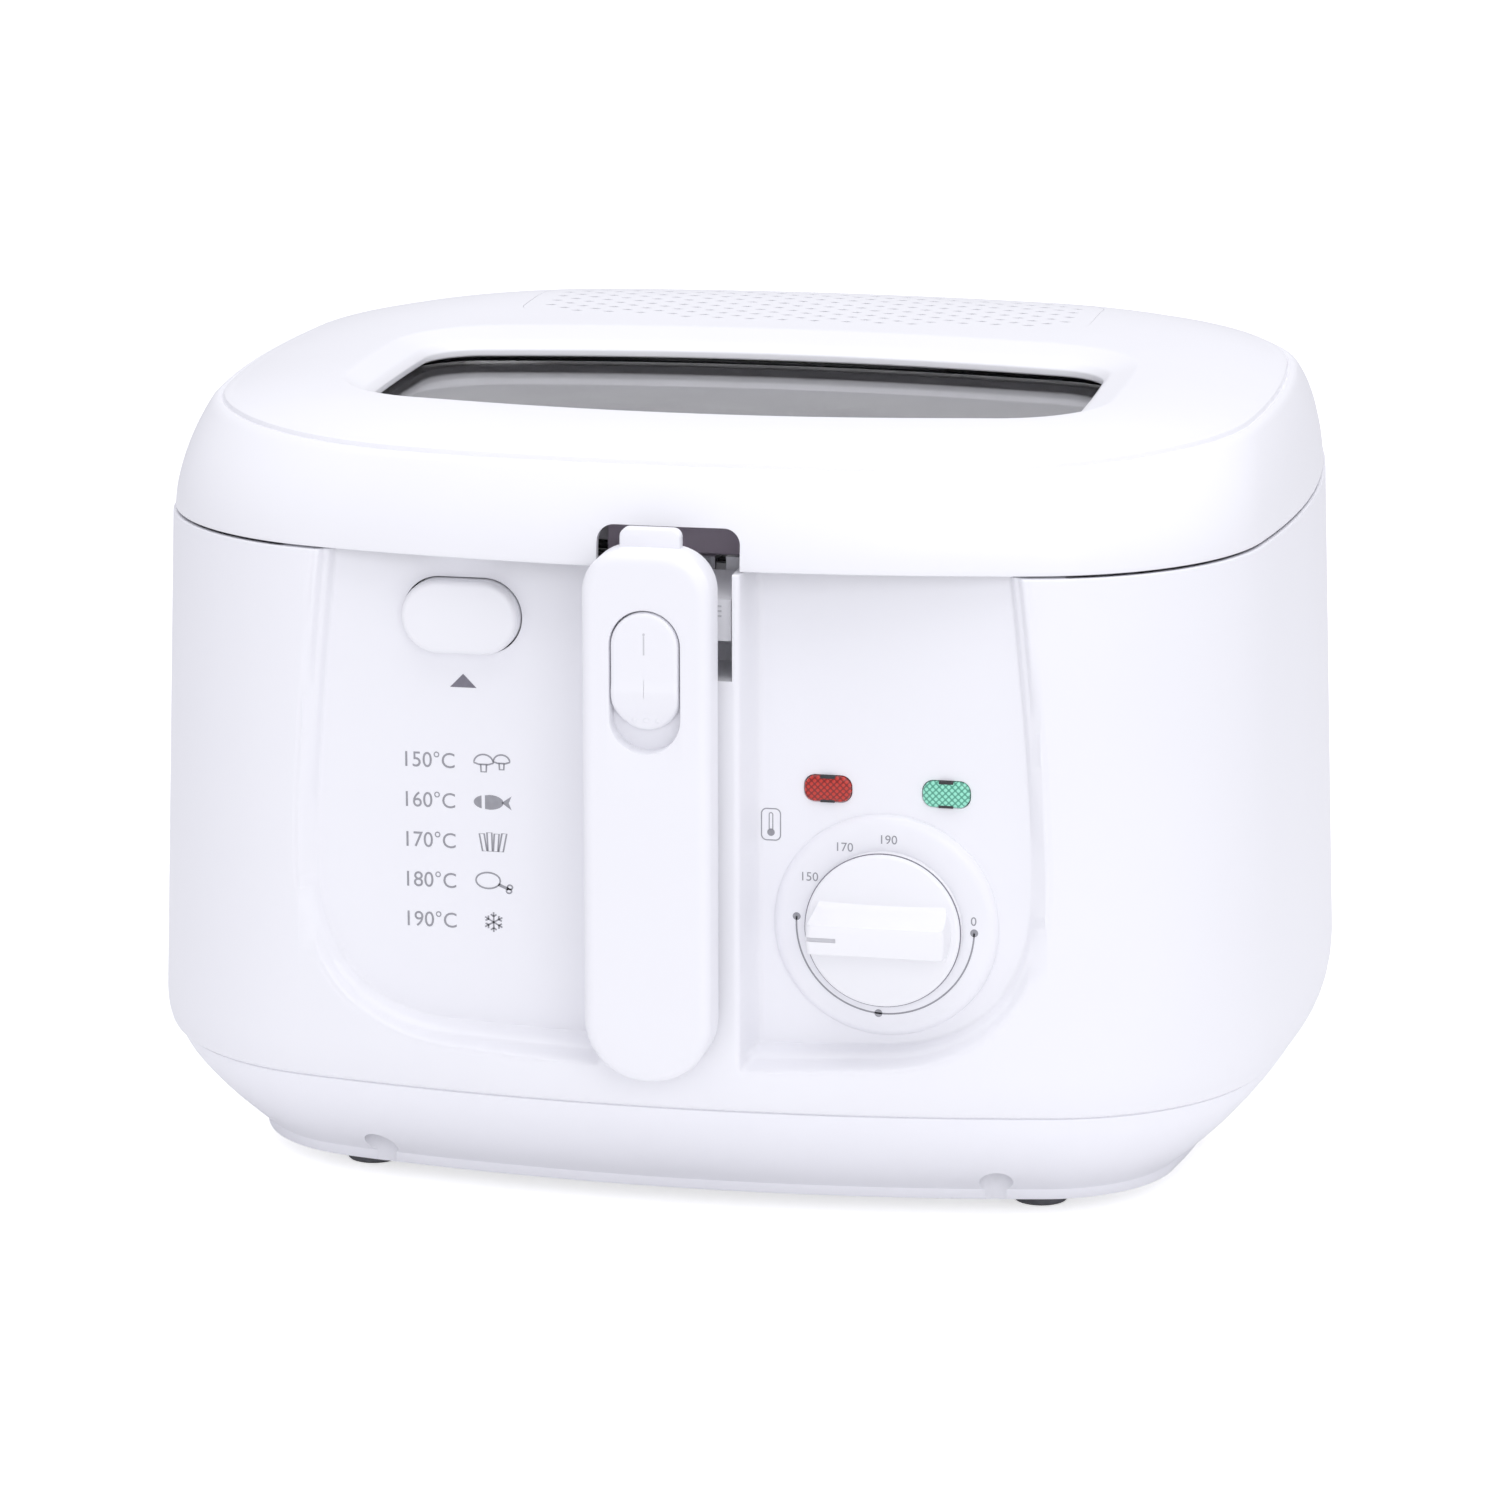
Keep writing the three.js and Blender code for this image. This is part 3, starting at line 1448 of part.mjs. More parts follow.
// Rear fittings
function cordGland() {
  const inner = bodyBackY - wall - seatGap;
  const outer = bodyBackY + seatGap;
  const profile = [
    new THREE.Vector2(glandBore, inner - glandFlangeDepth),
    new THREE.Vector2(glandHole + wall / 2, inner - glandFlangeDepth),
    new THREE.Vector2(glandHole + wall / 2, inner),
    new THREE.Vector2(glandHole - seatGap, inner),
    new THREE.Vector2(glandHole - seatGap, outer),
    new THREE.Vector2(glandFlange, outer),
    new THREE.Vector2(glandFlange - seatGap, outer + glandFlangeDepth),
    new THREE.Vector2(glandBore, outer + glandFlangeDepth),
    new THREE.Vector2(glandBore, inner - glandFlangeDepth),
  ];
  return solid(new THREE.LatheGeometry(profile, roundSteps));
}

function terminalBlock() {
  const low = footHeight + baseFloor + seatGap;
  const high = low + terminalHeight;
  const halfX = terminalWidth / 2;
  const halfY = terminalDepth / 2;
  const body = block(-halfX, halfX, terminalY - halfY, terminalY + halfY, low, high);
  const holes = [-1, 0, 1].map((place) => {
    const x = (place * terminalWidth) / 3;
    return post(x, terminalY, (low + high) / 2, high + overrun, screwHole, smallSteps);
  });
  return cutBy(body, holes);
}

function hingePin() {
  const reach = lidLugWidth / 2 + seatGap + bodyLugWidth;
  return axleX(-reach, reach, 0, 0, hingePinRadius);
}

// The assembly

const body = group(
  piece("outer_housing", outerHousing(), whitePlastic),
  piece("base_tray", baseTray(), whitePlastic),
  piece("oil_pot", oilPot(), coatedPot),
  piece("heating_element", heatingElement(), dullSteel),
  piece("heat_shield", heatShield(), brightSteel),
  piece("thermal_cutout", thermalCutout(), blackPlastic),
  placed(piece("thermostat", thermostat(), blackPlastic), dialX, 0, dialZ),
  piece("power_lamp_lens", lampLens(-1), redLens),
  piece("heating_lamp_lens", lampLens(1), greenLens),
  piece("power_lamp_holder", lampHolder(-1), blackPlastic),
  piece("heating_lamp_holder", lampHolder(1), blackPlastic),
  placed(piece("cord_gland", cordGland(), blackRubber), 0, 0, glandZ),
  piece("terminal_block", terminalBlock(), felt),
  placed(piece("hinge_pin_left", hingePin(), dullSteel), -hingeX, hingeY, hingeZ),
  placed(piece("hinge_pin_right", hingePin(), dullSteel), hingeX, hingeY, hingeZ),
);
const spring = piece("latch_spring", latchSpring(), dullSteel);
spring.rotation.x = -Math.PI / 2;
body.add(placed(spring, buttonX, latchBackY + seatGap, buttonZ));
const cornerNames = ["front_right", "front_left", "rear_right", "rear_left"];
cornerPlaces(footX, footY).forEach(([x, y], k) => {
  body.add(placed(piece("foot_" + cornerNames[k], foot(), darkRubber), x, y, 0));
});
cornerPlaces(pocketX, pocketY).forEach(([x, y], k) => {
  const fixing = piece("base_screw_" + cornerNames[k], screw(0, screwDepth), dullSteel);
  body.add(placed(fixing, x, y, pocketTopZ - seatGap));
});

const latch = group(
  piece("lid_button", lidButton(), whitePlastic),
  piece("latch_hook", latchHook(), blackPlastic),
);

const knob = group(
  piece("temperature_knob", temperatureKnob(), whitePlastic),
  piece("thermostat_shaft", thermostatShaft(), dullSteel),
);
knob.position.set(dialX, 0, dialZ);

const lid = group(
  piece("lid_outer", lidOuter(), whitePlastic),
  piece("window_glass", windowGlass(), clearGlass),
  piece("window_gasket", windowGasket(), blackRubber),
  piece("lid_inner", lidInner(), felt),
  piece("lid_seal", lidSeal(), blackRubber),
  piece("filter_cover", filterCover(), whitePlastic),
  piece("grease_filter", filterPad(linerTopZ + seatGap), felt),
  piece("charcoal_filter", filterPad(linerTopZ + padThickness + 2 * seatGap), charcoal),
);
const lidScrewNames = ["left_front", "left_rear", "right_front", "right_rear"];
[-1, 1].forEach((side, s) => {
  lidBossYs.forEach((y, k) => {
    const name = "lid_screw_" + lidScrewNames[2 * s + k];
    const fixing = piece(name, screw(-seatGap, linerSheet + lidWall), dullSteel);
    lid.add(placed(fixing, side * lidBossX, y, linerTopZ - linerSheet));
  });
});

const basket = group(
  piece("basket_rim", basketRim(), brightSteel),
  ...basketNets(),
  piece("basket_hanger", basketHanger(), brightSteel),
  piece("handle_holder", handleHolder(), whiteHandle),
  piece("handle_pin", axleX(-pivotPinHalf, pivotPinHalf, pivotY, pivotZ, pivotPinRadius), dullSteel),
);

const handle = group(
  piece("handle_grip", handleGrip(), whiteHandle),
  piece("handle_cover", handleCover(), whiteHandle),
);

const slide = group(piece("handle_slide", handleSlide(), whiteHandle));
const slideSpringY = (recessBackY + slideFloor + handleBackY - coverThickness) / 2;
slide.add(placed(piece("handle_slide_spring", slideSpring(), dullSteel), 0, slideSpringY, slideSpringLowZ));

const fryer = group(body, latch, knob, lid, basket, handle, slide);
fryer.position.y = -(frontMostY + rearMostY) / 2;
const part = group(fryer);

export default part;
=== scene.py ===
# A household deep fryer, dressed over its CAD frame. Sizes are millimetres in the fryer's own plan frame,
# whose origin is the centre of the body's plan at floor level; place() turns them into row-frame metres.

import json
import math

import bmesh
import bpy
import numpy as np
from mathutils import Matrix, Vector

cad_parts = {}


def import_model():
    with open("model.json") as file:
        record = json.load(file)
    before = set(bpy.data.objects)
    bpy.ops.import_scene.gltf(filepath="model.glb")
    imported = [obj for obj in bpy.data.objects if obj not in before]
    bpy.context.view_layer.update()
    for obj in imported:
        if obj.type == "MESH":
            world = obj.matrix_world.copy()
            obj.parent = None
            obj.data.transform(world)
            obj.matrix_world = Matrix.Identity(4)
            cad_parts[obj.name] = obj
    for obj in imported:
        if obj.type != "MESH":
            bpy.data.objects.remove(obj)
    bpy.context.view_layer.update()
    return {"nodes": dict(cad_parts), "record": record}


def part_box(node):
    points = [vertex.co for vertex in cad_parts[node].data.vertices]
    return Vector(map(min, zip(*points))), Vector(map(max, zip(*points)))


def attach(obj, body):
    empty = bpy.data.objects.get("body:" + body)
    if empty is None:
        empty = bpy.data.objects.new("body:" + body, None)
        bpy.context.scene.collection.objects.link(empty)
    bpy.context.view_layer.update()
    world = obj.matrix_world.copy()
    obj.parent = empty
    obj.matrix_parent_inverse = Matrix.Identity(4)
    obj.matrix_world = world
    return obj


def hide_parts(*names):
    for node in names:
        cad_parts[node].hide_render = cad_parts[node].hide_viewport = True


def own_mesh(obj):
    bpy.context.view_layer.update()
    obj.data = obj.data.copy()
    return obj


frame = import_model()

MM = 0.001
HINGE_Y = 161.0
PIN_LOW, PIN_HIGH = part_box("hinge_pin_left")
SHIFT_Y = (PIN_LOW.y + PIN_HIGH.y) / 2 / MM - HINGE_Y


# Driving sizes, shared with the CAD, but for the window's plan, which reaches further back here
def make_plan(width, depth, centre_y, front_rise, side_rise, corner):
    """A rounded plan whose sides bow out by the given rises."""
    return {
        "width": width,
        "depth": depth,
        "centre_y": centre_y,
        "bow_y": ((width / 2) ** 2 + front_rise**2) / (2 * front_rise),
        "bow_x": ((depth / 2) ** 2 + side_rise**2) / (2 * side_rise),
        "corner": corner,
    }


BODY_WIDTH = 355.0
BODY_DEPTH = 311.2
BODY_FLARE = 6.2
BODY_CORNER = 76.24
BASE_SEAM_Z = 40.5
LID_SEAM_Z = 207.0


def body_plan(z):
    """The body grows wider from the lid seam down to the base seam."""
    share = (LID_SEAM_Z - z) / (LID_SEAM_Z - BASE_SEAM_Z)
    return make_plan(BODY_WIDTH + 2 * BODY_FLARE * share, BODY_DEPTH, 0.0, 30.0, 25.7, BODY_CORNER)


BODY = body_plan(LID_SEAM_Z)
FOOT = body_plan(BASE_SEAM_Z)
POT = make_plan(244.0, 192.0, -16.0, 10.7, 5.1, 45.0)
WINDOW = make_plan(222.0, 121.0, -37.8, 13.9, 1.65, 20.0)
BEVEL = make_plan(243.0, 145.0, -31.5, 16.7, 2.9, 40.0)
COVER = make_plan(190.0, 74.0, 84.0, 10.1, 0.8, 14.06)
WALL = 2.6
GAP = 0.3
FRONT_Y = -BODY_DEPTH / 2
BACK_Y = BODY_DEPTH / 2
PANEL_Y = -139.5
SLOT_SHIFT = 2.8
COLUMN_HALF = 21.6
COLUMN_LEFT = SLOT_SHIFT - COLUMN_HALF
COLUMN_RIGHT = SLOT_SHIFT + COLUMN_HALF
SLOT_HALF = 19.5
SLOT_BOTTOM_Z = 174.5
SLOT_BACK_Y = -128.0
DECK_Z = 203.0
DECK_THICKNESS = 2.5
DIAL_X = 66.2
DIAL_Z = 98.3
BUTTON_X = -63.6
BUTTON_Z = 187.5
LAMP_Z = 139.5
LAMP_SPREAD = 17.9
HANDLE_FRONT_Y = -174.0
HANDLE_BACK_Y = -160.4
HANDLE_HALF = 19.3
HANDLE_BOTTOM_Z = 54.7
HANDLE_TOP_Z = 216.4
PIVOT_Y = -167.4
PIVOT_Z = 208.0
HINGE_Z = 205.0
HINGE_X = 80.0
LUG_RADIUS = 5.5
LUG_REACH = 15.0
GLAND_Z = 62.0
SHAFT_HOLE = 5.0
BUTTON_HALF_X = 18.0
BUTTON_HALF_Z = 11.25
BUTTON_GAP = 0.45
BASE_SCREW_X = 97.0
BASE_SCREW_Y = 119.5
LID_SCREW_X = 141.0
LID_SCREW_YS = (-48.0, 62.0)


# Geometry helpers
def place(points):
    """Plan-frame millimetres to row-frame metres."""
    points = np.asarray(points, float).reshape(-1, 3).copy()
    points[:, 1] += SHIFT_Y
    return points * MM


def linked(name, data):
    obj = bpy.data.objects.new(name, data)
    bpy.context.scene.collection.objects.link(obj)
    return obj


def plain_object(name, points, faces):
    mesh = bpy.data.meshes.new(name)
    mesh.from_pydata([tuple(p) for p in place(points)], [], [tuple(int(i) for i in f) for f in faces])
    mesh.update()
    return linked(name, mesh)


def new_object(name, points, faces):
    """A mesh whose faces all look outwards."""
    obj = plain_object(name, points, faces)
    face_out(obj)
    return obj


def face_out(obj):
    work = bmesh.new()
    work.from_mesh(obj.data)
    bmesh.ops.remove_doubles(work, verts=work.verts, dist=1e-7)
    bmesh.ops.recalc_face_normals(work, faces=work.faces)
    work.to_mesh(obj.data)
    work.free()


def smooth(obj, angle=32.0):
    for polygon in obj.data.polygons:
        polygon.use_smooth = True
    obj.data.set_sharp_from_angle(angle=math.radians(angle))


def dress(obj, body, slot, replaced=(), angle=32.0, material=None):
    """The slot's finish or another, the body it rides on, its slot, and the CAD nodes it stands for."""
    smooth(obj, angle)
    obj.data.materials.clear()
    obj.data.materials.append(material or FINISHES[slot])
    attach(obj, body)
    if replaced:
        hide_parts(*replaced)


def lofted(name, rings, loop=False):
    """A surface through rings of equal counts, capped at both ends, or looped back to its first ring."""
    count = len(rings[0])
    points = np.concatenate([np.asarray(r, float) for r in rings])
    faces = []
    for level in range(len(rings) if loop else len(rings) - 1):
        low = level * count
        high = (level + 1) % len(rings) * count
        for k in range(count):
            m = (k + 1) % count
            faces.append((low + k, low + m, high + m, high + k))
    if not loop:
        last = (len(rings) - 1) * count
        faces.append(tuple(range(count - 1, -1, -1)))
        faces.append(tuple(range(last, last + count)))
    return new_object(name, points, faces)


def soften(obj, width):
    """Rounds the sharp edges over a width in millimetres."""
    bevel = obj.modifiers.new("edge", "BEVEL")
    bevel.width = width * MM
    bevel.segments = 3
    bevel.limit_method = "ANGLE"


def box_object(name, x0, x1, y0, y1, z0, z1, round_edge=0.0):
    points = [(x, y, z) for x in (x0, x1) for y in (y0, y1) for z in (z0, z1)]
    faces = [(0, 1, 3, 2), (4, 6, 7, 5), (0, 4, 5, 1), (2, 3, 7, 6), (0, 2, 6, 4), (1, 5, 7, 3)]
    obj = new_object(name, points, faces)
    if round_edge:
        soften(obj, round_edge)
        keep_result(obj)
    return obj


def keep_result(obj):
    """Applies the modifiers."""
    bpy.context.view_layer.update()
    made = bpy.data.meshes.new_from_object(obj.evaluated_get(bpy.context.evaluated_depsgraph_get()))
    obj.modifiers.clear()
    obj.data = made


def boolean(obj, tools, operation="DIFFERENCE"):
    """Joins or cuts obj with tools, one after another, and removes them."""
    for tool in tools:
        modifier = obj.modifiers.new("cut", "BOOLEAN")
        modifier.operation = operation
        modifier.solver = "EXACT"
        modifier.object = tool
    keep_result(obj)
    for tool in tools:
        bpy.data.objects.remove(tool)
    return obj


def joined(name, parts):
    """Several meshes as one object."""
    work = bmesh.new()
    for part in parts:
        work.from_mesh(part.data)
    mesh = bpy.data.meshes.new(name)
    work.to_mesh(mesh)
    work.free()
    for part in parts:
        bpy.data.objects.remove(part)
    return linked(name, mesh)


def round_angles(steps):
    return np.linspace(0, 2 * math.pi, steps, endpoint=False)


def quarter(steps, first=1):
    """Cosine and sine at each step of a quarter turn."""
    angles = [math.radians(90 * k / steps) for k in range(first, steps + 1)]
    return [(math.cos(angle), math.sin(angle)) for angle in angles]


def directions(path, closed):
    """Unit vectors along a path."""
    along = np.roll(path, -1, 0) - np.roll(path, 1, 0) if closed else np.gradient(path, axis=0)
    return along / np.linalg.norm(along, axis=1)[:, None]


def bar_x(name, x0, x1, y, z, radius, steps, chamfer=0.5):
    """A round bar along X with chamfered ends."""
    turn = round_angles(steps)
    rings = []
    for x, shrink in ((x0, chamfer), (x0 + chamfer, 0), (x1 - chamfer, 0), (x1, chamfer)):
        r = radius - shrink
        rings.append(np.stack([np.full(steps, x), y + r * np.cos(turn), z + r * np.sin(turn)], 1))
    return lofted(name, rings)


def lathe_y(name, profile, x, z, steps=96):
    """A profile of (radius, y) turned about the line along Y through x, z."""
    turn = round_angles(steps)
    rings = []
    for radius, y in profile:
        rings.append(np.stack([x + radius * np.cos(turn), np.full(steps, y), z + radius * np.sin(turn)], 1))
    return lofted(name, rings)


def lathe_z(name, profile, x, y, steps=64):
    """A profile of (radius, z) turned about the line along Z through x, y."""
    turn = round_angles(steps)
    rings = []
    for radius, z in profile:
        rings.append(np.stack([x + radius * np.cos(turn), y + radius * np.sin(turn), np.full(steps, z)], 1))
    return lofted(name, rings)


def swept(name, path, radius, up, closed=False, sides=8):
    """A round wire along a path; up is never parallel to the path."""
    path = np.asarray(path, float)
    along = directions(path, closed)
    side = np.cross(along, np.asarray(up, float))
    side /= np.linalg.norm(side, axis=1)[:, None]
    rise = np.cross(side, along)
    turn = round_angles(sides)[:, None]
    rings = []
    for middle, across, above in zip(path, side, rise):
        rings.append(middle + radius * (np.cos(turn) * across + np.sin(turn) * above))
    return lofted(name, rings, loop=closed)


# Plan outlines: bowed sides joined by round corners, in order round +Z
def plan_arcs(plan):
    centre_y = plan["bow_y"] - plan["depth"] / 2
    centre_x = plan["width"] / 2 - plan["bow_x"]
    span = math.hypot(centre_x, centre_y)
    to_front = plan["bow_y"] - plan["corner"]
    to_side = plan["bow_x"] - plan["corner"]
    along = (to_front**2 - to_side**2 + span**2) / (2 * span)
    across = math.sqrt(to_front**2 - along**2)
    ux, uy = centre_x / span, -centre_y / span
    found = [(ux * along - s * uy * across, centre_y + uy * along + s * ux * across) for s in (1, -1)]
    cx, cy = next(p for p in found if p[0] > 0)
    cy = abs(cy)
    low = math.atan2(cy, cx - centre_x)
    high = math.atan2(cy + centre_y, cx)
    pi = math.pi
    corner = plan["corner"]
    return [
        (centre_x, 0, plan["bow_x"], -low, low, "side"),
        (cx, cy, corner, low, high, "corner"),
        (0, -centre_y, plan["bow_y"], high, pi - high, "bow"),
        (-cx, cy, corner, pi - high, pi - low, "corner"),
        (-centre_x, 0, plan["bow_x"], pi - low, pi + low, "side"),
        (-cx, -cy, corner, pi + low, pi + high, "front left"),
        (0, centre_y, plan["bow_y"], pi + high, 2 * pi - high, "front"),
        (cx, -cy, corner, 2 * pi - high, 2 * pi - low, "front right"),
    ]


STEPS = {"side": 12, "corner": 22, "front left": 22, "front right": 22, "bow": 40, "front": 40}
FINE_STEPS = {"side": 24, "corner": 40, "front left": 40, "front right": 40, "bow": 60, "front": 60}
FINE_SHARE = 0.25
FINE_COUNT = 40
COARSE_COUNT = 14


def corner_shares(arc):
    """Places along a front corner, close together where it meets the front."""
    near = np.linspace(0, FINE_SHARE, FINE_COUNT, endpoint=False)
    shares = np.concatenate([near, np.linspace(FINE_SHARE, 1, COARSE_COUNT, endpoint=False)])
    if arc == "front right":
        return shares
    return np.concatenate([[0.0], 1 - shares[:0:-1]])


def plan_ring(plan, inset, z, steps=STEPS, front_x=None):
    """Points of an outline moved in by inset. front_x lists where the front arc's own points stand across."""
    points = []
    for x, y, radius, start, stop, arc in plan_arcs(plan):
        if arc == "front" and front_x is not None:
            angles = [start] + [2 * math.pi - math.acos(s / radius) for s in front_x]
        elif arc.startswith("front ") and front_x is not None:
            angles = [start + (stop - start) * s for s in corner_shares(arc)]
        else:
            angles = [start + (stop - start) * k / steps[arc] for k in range(steps[arc])]
        for angle in angles:
            reach = radius - inset
            points.append((x + reach * math.cos(angle), plan["centre_y"] + y + reach * math.sin(angle), z))
    return np.array(points)


def plan_rings(plan, profile):
    """A ring for every inset and height of a profile."""
    return [plan_ring(plan, inset, z) for inset, z in profile]


def rounded_ring(x0, x1, z0, z1, top, bottom, y, corner_steps=14, side_steps=10):
    """A front outline with round corners, as points at depth y."""
    points = []
    corners = [
        (x1 - bottom, z0 + bottom, bottom, -90),
        (x1 - top, z1 - top, top, 0),
        (x0 + top, z1 - top, top, 90),
        (x0 + bottom, z0 + bottom, bottom, 180),
    ]
    for index, (cx, cz, radius, start) in enumerate(corners):
        for k in range(corner_steps + 1):
            angle = math.radians(start + 90 * k / corner_steps)
            points.append((cx + radius * math.cos(angle), y, cz + radius * math.sin(angle)))
        nx, nz, nr, ns = corners[(index + 1) % 4]
        angle = math.radians(ns)
        target = (nx + nr * math.cos(angle), y, nz + nr * math.sin(angle))
        last = points[-1]
        for k in range(1, side_steps):
            share = k / side_steps
            points.append(tuple(last[i] + (target[i] - last[i]) * share for i in range(3)))
    return np.array(points)


def pill_ring(x, z0, z1, half, y):
    return rounded_ring(x - half, x + half, z0, z1, half - 0.01, half - 0.01, y)


def laid_flat(ring, z):
    """A front outline laid down at a height, its own heights now running back."""
    return np.stack([ring[:, 0], ring[:, 2], np.full(len(ring), z)], 1)


def distance_to(points, outline):
    """Signed distance of 2-D points to a closed outline, below zero inside."""
    a = np.asarray(outline, float)
    b = np.roll(a, -1, 0)
    best = np.full(len(points), 1e9)
    inside = np.zeros(len(points), bool)
    px, py = points[:, 0], points[:, 1]
    for (ax, ay), (bx, by) in zip(a, b):
        dx, dy = bx - ax, by - ay
        length = dx * dx + dy * dy
        if length < 1e-12:
            continue
        t = np.clip(((px - ax) * dx + (py - ay) * dy) / length, 0, 1)
        best = np.minimum(best, np.hypot(px - ax - t * dx, py - ay - t * dy))
        crosses = (ay > py) != (by > py)
        with np.errstate(divide="ignore", invalid="ignore"):
            where = ax + (py - ay) / (by - ay) * dx if by != ay else np.full(len(points), 1e9)
        inside ^= crosses & (px < where)
    return np.where(inside, -best, best)


def ease(t):
    t = np.clip(t, 0, 1)
    return t * t * (3 - 2 * t)


# Materials
NOISE_LOW, NOISE_HIGH = 0.35, 0.65


def node_material(name):
    material = bpy.data.materials.new(name)
    material.use_nodes = True
    tree = material.node_tree
    return material, tree, next(n for n in tree.nodes if n.type == "BSDF_PRINCIPLED")


def put(node, settings):
    for name, value in settings.items():
        node.inputs[name].default_value = value


def add_node(tree, kind, settings):
    node = tree.nodes.new(kind)
    put(node, settings)
    return node


def add_noise(tree, scale, detail=3.0, stretch=(1, 1, 1)):
    """Noise in the object's own metres."""
    where = tree.nodes.new("ShaderNodeTexCoord")
    mapping = add_node(tree, "ShaderNodeMapping", {"Scale": stretch})
    noise = add_node(tree, "ShaderNodeTexNoise", {"Scale": scale, "Detail": detail})
    tree.links.new(where.outputs["Object"], mapping.inputs["Vector"])
    tree.links.new(mapping.outputs["Vector"], noise.inputs["Vector"])
    return noise.outputs["Fac"]


def vary_roughness(tree, shader, value, low, high):
    ends = {"From Min": NOISE_LOW, "From Max": NOISE_HIGH, "To Min": low, "To Max": high}
    spread = add_node(tree, "ShaderNodeMapRange", ends)
    tree.links.new(value, spread.inputs["Value"])
    tree.links.new(spread.outputs["Result"], shader.inputs["Roughness"])


def vary_colour(tree, shader, value, first, second, low=NOISE_LOW, high=NOISE_HIGH):
    ramp = tree.nodes.new("ShaderNodeValToRGB")
    for element, position, colour in zip(ramp.color_ramp.elements, (low, high), (first, second)):
        element.position = position
        element.color = (*colour, 1)
    tree.links.new(value, ramp.inputs["Fac"])
    tree.links.new(ramp.outputs["Color"], shader.inputs["Base Color"])


def add_bump(tree, shader, value, depth_mm):
    bump = add_node(tree, "ShaderNodeBump", {"Distance": depth_mm * MM, "Strength": 1.0})
    tree.links.new(value, bump.inputs["Height"])
    tree.links.new(bump.outputs["Normal"], shader.inputs["Normal"])


def shade(colour, factor):
    return tuple(min(1, c * factor) for c in colour)


def moulded(name, colour, roughness, grain=1400.0, depth=0.004, coat=0.0):
    """Injection-moulded plastic: a fine skin texture with a trace of uneven gloss and colour."""
    material, tree, shader = node_material(name)
    slow = add_noise(tree, 22.0)
    vary_colour(tree, shader, slow, shade(colour, 0.993), colour)
    vary_roughness(tree, shader, slow, roughness - 0.01, roughness + 0.015)
    add_bump(tree, shader, add_noise(tree, grain, 2.0), depth)
    put(shader, {"Coat Weight": coat, "Coat Roughness": 0.1, "IOR": 1.5})
    return material


def metal(name, colour, roughness, stretch=(1, 1, 1)):
    """Steel with a trace of brushing."""
    material, tree, shader = node_material(name)
    brushed = add_noise(tree, 900.0, 4.0, stretch)
    vary_colour(tree, shader, brushed, shade(colour, 0.8), colour)
    vary_roughness(tree, shader, brushed, roughness - 0.06, roughness + 0.08)
    add_bump(tree, shader, brushed, 0.004)
    put(shader, {"Metallic": 1.0})
    return material


def rubber(name, colour):
    material, tree, shader = node_material(name)
    dust = add_noise(tree, 220.0, 4.0)
    vary_colour(tree, shader, dust, colour, shade(colour, 1.3))
    vary_roughness(tree, shader, dust, 0.7, 0.9)
    add_bump(tree, shader, add_noise(tree, 1100.0), 0.02)
    return material


def fibre(name, colour):
    """A mat of felt or foam."""
    material, tree, shader = node_material(name)
    hairs = add_noise(tree, 700.0, 8.0)
    vary_colour(tree, shader, hairs, shade(colour, 0.6), colour)
    add_bump(tree, shader, hairs, 0.3)
    put(shader, {"Roughness": 0.95})
    return material


def clear_glass(name):
    material, tree, shader = node_material(name)
    vary_roughness(tree, shader, add_noise(tree, 30.0, 5.0), 0.02, 0.07)
    put(shader, {"Base Color": (0.72, 0.72, 0.75, 1), "Transmission Weight": 1.0, "IOR": 1.5})
    return material


def lamp_lens(name, colour, deep):
    """Clear coloured plastic with crossed ridges moulded behind its face."""
    material, tree, shader = node_material(name)
    where = tree.nodes.new("ShaderNodeTexCoord")
    crossed = tree.nodes.new("ShaderNodeMath")
    crossed.operation = "MULTIPLY"
    for index, turn in enumerate((45, -45)):
        mapping = add_node(tree, "ShaderNodeMapping", {"Rotation": (0, math.radians(turn), 0)})
        wave = add_node(tree, "ShaderNodeTexWave", {"Scale": 230.0})
        wave.wave_type = "BANDS"
        wave.bands_direction = "X"
        tree.links.new(where.outputs["Object"], mapping.inputs["Vector"])
        tree.links.new(mapping.outputs["Vector"], wave.inputs["Vector"])
        tree.links.new(wave.outputs["Fac"], crossed.inputs[index])
    vary_colour(tree, shader, crossed.outputs["Value"], deep, colour, 0.0, 0.3)
    add_bump(tree, shader, crossed.outputs["Value"], 0.1)
    put(shader, {"Roughness": 0.22, "Coat Weight": 0.3, "Coat Roughness": 0.05})
    return material


def print_ink(name, colour):
    material, tree, shader = node_material(name)
    vary_colour(tree, shader, add_noise(tree, 500.0), shade(colour, 0.9), colour)
    put(shader, {"Roughness": 0.5})
    return material


WHITE_HANDLE = moulded("white_handle", (0.875, 0.875, 0.91), 0.4)
# Dark purple-grey for the steam shield: painted shade of a white plate deep in the notch
SHIELD_PAINTED_SHADE = moulded("shield_painted_shade", (0.42, 0.36, 0.43), 0.5)
# Grey for small scored lines and embossed marks: painted shade of their grooves and dots
PAINTED_MARK_SHADE = moulded("painted_mark_shade", (0.6, 0.6, 0.63), 0.5)
DULL_STEEL = metal("dull_steel", (0.38, 0.38, 0.4), 0.42)
GREY_INK = print_ink("grey_ink", (0.33, 0.33, 0.36))
# Dark ink for the release arrow, also used as the painted shadow ring round the knob's rim
DARK_INK_AND_PAINTED_SHADOW = print_ink("dark_ink_and_painted_shadow", (0.2, 0.19, 0.23))

